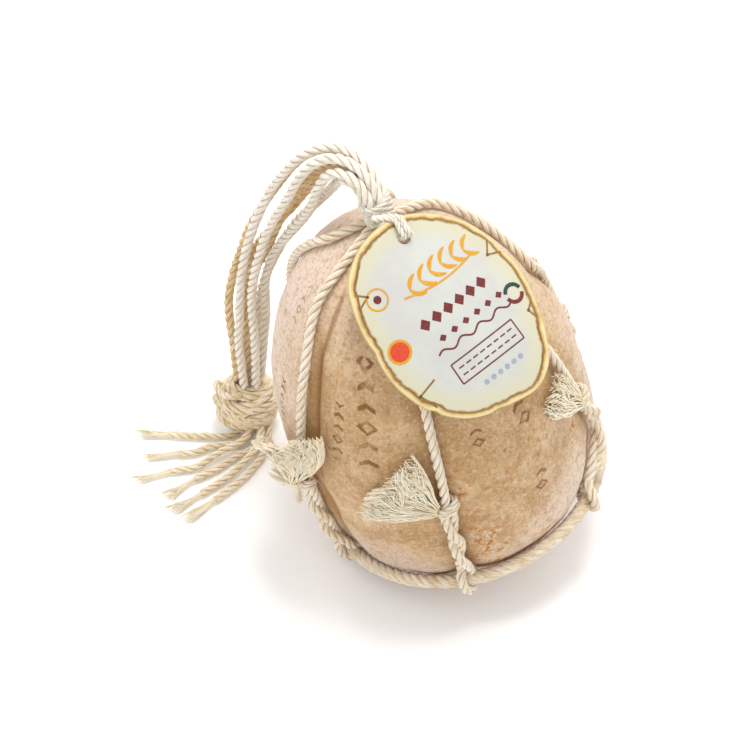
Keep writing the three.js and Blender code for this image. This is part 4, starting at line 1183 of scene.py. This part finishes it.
def makePrint():
    sheet = Print()
    slope = math.radians(14)

    def turn(x, y):
        return (x * math.cos(slope) - y * math.sin(slope), x * math.sin(slope) + y * math.cos(slope))

    def bow(x0, y0, x1, y1, swing=0.0, count=24):  # a line that swings out to one side
        long = math.hypot(x1 - x0, y1 - y0)
        out = [swing * math.sin(math.pi * k / count) / long for k in range(count + 1)]
        return [turn(mix(x0, x1, k / count) + side * (y1 - y0), mix(y0, y1, k / count) - side * (x1 - x0))
                for k, side in enumerate(out)]

    def leafWidth(t):
        return 2.2 * (0.25 + 0.75 * math.sin(math.pi * min(1, t * 0.9 + 0.08)))

    # a golden sprig lying across the top, leaves on both sides of its stem
    sheet.strip(bow(-12, 20, 32, 18, 3), 1.0, "gold")
    for k in range(6):
        x, y = -7 + 7 * k, 20.6 + 2.6 * math.sin(math.pi * (k + 0.7) / 6.3)
        for side in (1, -1):
            sheet.strip(bow(x, y, x + 6.5, y + side * 5.4, -side * 1.2, 10), leafWidth, "gold")
    # a dark red wave under two rows of plain lozenges
    wave = [turn(-14 + 46 * k / 60, -12 + 1.3 * math.sin(2 * math.pi * 4 * k / 60)) for k in range(61)]
    sheet.strip(wave, 0.9, "wine")
    for k in range(6):
        x = -11 + 7.2 * k
        sheet.strip(bow(x - 2.9, 4, x + 2.9, 4, count=6), lambda t: 6.4 * (1 - abs(2 * t - 1)) + 0.3, "wine")
        sheet.strip(bow(x + 1.6, -6, x + 5.6, -6, count=6), lambda t: 3.4 * (1 - abs(2 * t - 1)) + 0.3, "wine")
    # a green and dark red ring on the right, a golden ring on the left, a red disc with a golden rim below it
    sheet.ring(37, -1, 4.4, 2.0, "green", 20, 170)
    sheet.ring(37, -1, 4.4, 2.0, "wine", 200, 350)
    sheet.ring(-29, 21, 5.2, 0.9, "gold")
    sheet.disc(-29, 21, 2.0, "wine")
    sheet.disc(-28, -6, 6.0, "gold")
    sheet.disc(-28, -6, 4.7, "red", 0.16)
    # a framed panel of short dashes, with grey dots below it
    corners = [(-12, -30), (26, -30), (26, -19), (-12, -19)]
    for a, b in zip(corners, corners[1:] + corners[:1]):
        sheet.strip(bow(*a, *b, count=10), 0.7, "wine")
    for row in (-22.6, -26.4):
        for k in range(8):
            sheet.strip(bow(-9.5 + 4.3 * k, row, -6.6 + 4.3 * k, row, count=3), 0.7, "wine")
    for k in range(6):
        sheet.disc(*turn(-2 + 4.2 * k, -36), 1.3, "grey")
    # printed tears of the scorched border: two short strokes to a dark tip
    tears = [((-33, 24), (-38.5, 27), (-38.5, 20)), ((33, 21), (36.5, 28), (40.5, 20)),
             ((40.5, -11.5), (43.5, -8), (43, -16)), ((-26, -29.5), (-17, -24.5), (-20, -37.5))]
    for (x, y), *ends in tears:
        for endX, endY in ends:
            sheet.strip([(mix(endX, x, k / 6), mix(endY, y, k / 6)) for k in range(7)], 0.95, "border")
        sheet.disc(x, y, 0.8, "scorch", 0.14)
    return sheet.piece("tagPrint")


finishPiece(makePrint(), "card")


# string of the tag
def stringPath():
    def fromTag(along, up, above):
        x, y = tag["hole"][0] + along, tag["hole"][1] + up
        return upright @ (tagPoint(x, y, above) / mm)
    x, y, z = cords["neck"]
    reach = cords["neckRadius"] + 1.3 + cords["gap"]
    onTag = ((-1, 9, 3.4), (-1, 4, 3.8), (0, 0.4, 3), (0, 0, 0), (0, 0, -2.6), (0, 4, -4), (0, 9, -3.6))
    return [Vector((x - 1, y - reach, z + 2)), Vector((x, y - reach - 2, z + 3)), *(fromTag(*spot) for spot in onTag),
            Vector((x + 3, y - reach - 2, z - 4)), Vector((x + 1, y - reach, z - 3))]


def makeStringPiece():
    count = 90
    path, lines = evenly(stringPath(), count), []
    arches = [math.sin(math.pi * i / count) for i in range(count + 1)]
    beside = [p + Vector((2.4 * arch + 0.5, 0.4, 0.7 * arch)) for p, arch in zip(path, arches)]
    for i, line in enumerate((path, beside)):
        line = [toWorld(p) for p in line]
        lines.append(makeRope(f"string{i}", line, fineCordMaterial, 1.45, 9, seed=130 + i, step=0.8))
    return joined("tagString", lines)


finishPiece(makeStringPiece(), "cord", "tag_string")
print("tag print and string made")


# floor, light
def makeFloor():
    material, node, shader = newMaterial("plain pale floor")
    place = node("ShaderNodeTexCoord", output="Object")
    cloud = node(*cloudy, {"Vector": place, "Scale": 3, "Detail": 2, "Roughness": 0.5})
    tone = node(*blend, {0: node(*ramp, [cloud, 0.3, 0.7]), 6: srgb("fdfdfd"), 7: srgb("fbfbfb")}, 2)
    setInputs(shader, {
        "Base Color": tone, "Roughness": 0.9, "Specular IOR Level": 0.1, "Emission Color": (1, 1, 1, 1),
        "Emission Strength": 0.045})
    count, half, below = 24, 6.0, 0.0004
    places = [mix(-half, half, i / count) for i in range(count + 1)]
    points = [(x, y, -below) for y in places for x in places]
    faces = gridFaces(count + 1, count + 1)
    floor = meshObject("floor", points, faces, material)


makeFloor()

light = {
    "sky": 0.92, "lampAim": (0, 0, 0.08),
    "lamps": {  # power, place, size
        "key": (13, (0.12, 0.17, 1.6), 0.6),
        "fill": (1.0, (-0.9, -0.2, 1.0), 1.0),
    },
}
world = bpy.data.worlds.new("studio")
world.use_nodes = True
world.node_tree.nodes["Background"].inputs[0].default_value = (1, 1, 1, 1)
world.node_tree.nodes["Background"].inputs[1].default_value = light["sky"]
scene.world = world
for name, (power, place, size) in light["lamps"].items():
    data = bpy.data.lights.new(name, "AREA")
    data.energy, data.size, data.shape = power, size, "DISK"
    lamp = bpy.data.objects.new(name, data)
    lamp.location = place
    lamp.rotation_euler = (Vector(light["lampAim"]) - Vector(place)).to_track_quat("-Z", "Y").to_euler()
    scene.collection.objects.link(lamp)
scene.view_settings.view_transform = "Standard"
scene.view_settings.look = "None"
print("floor and light set")
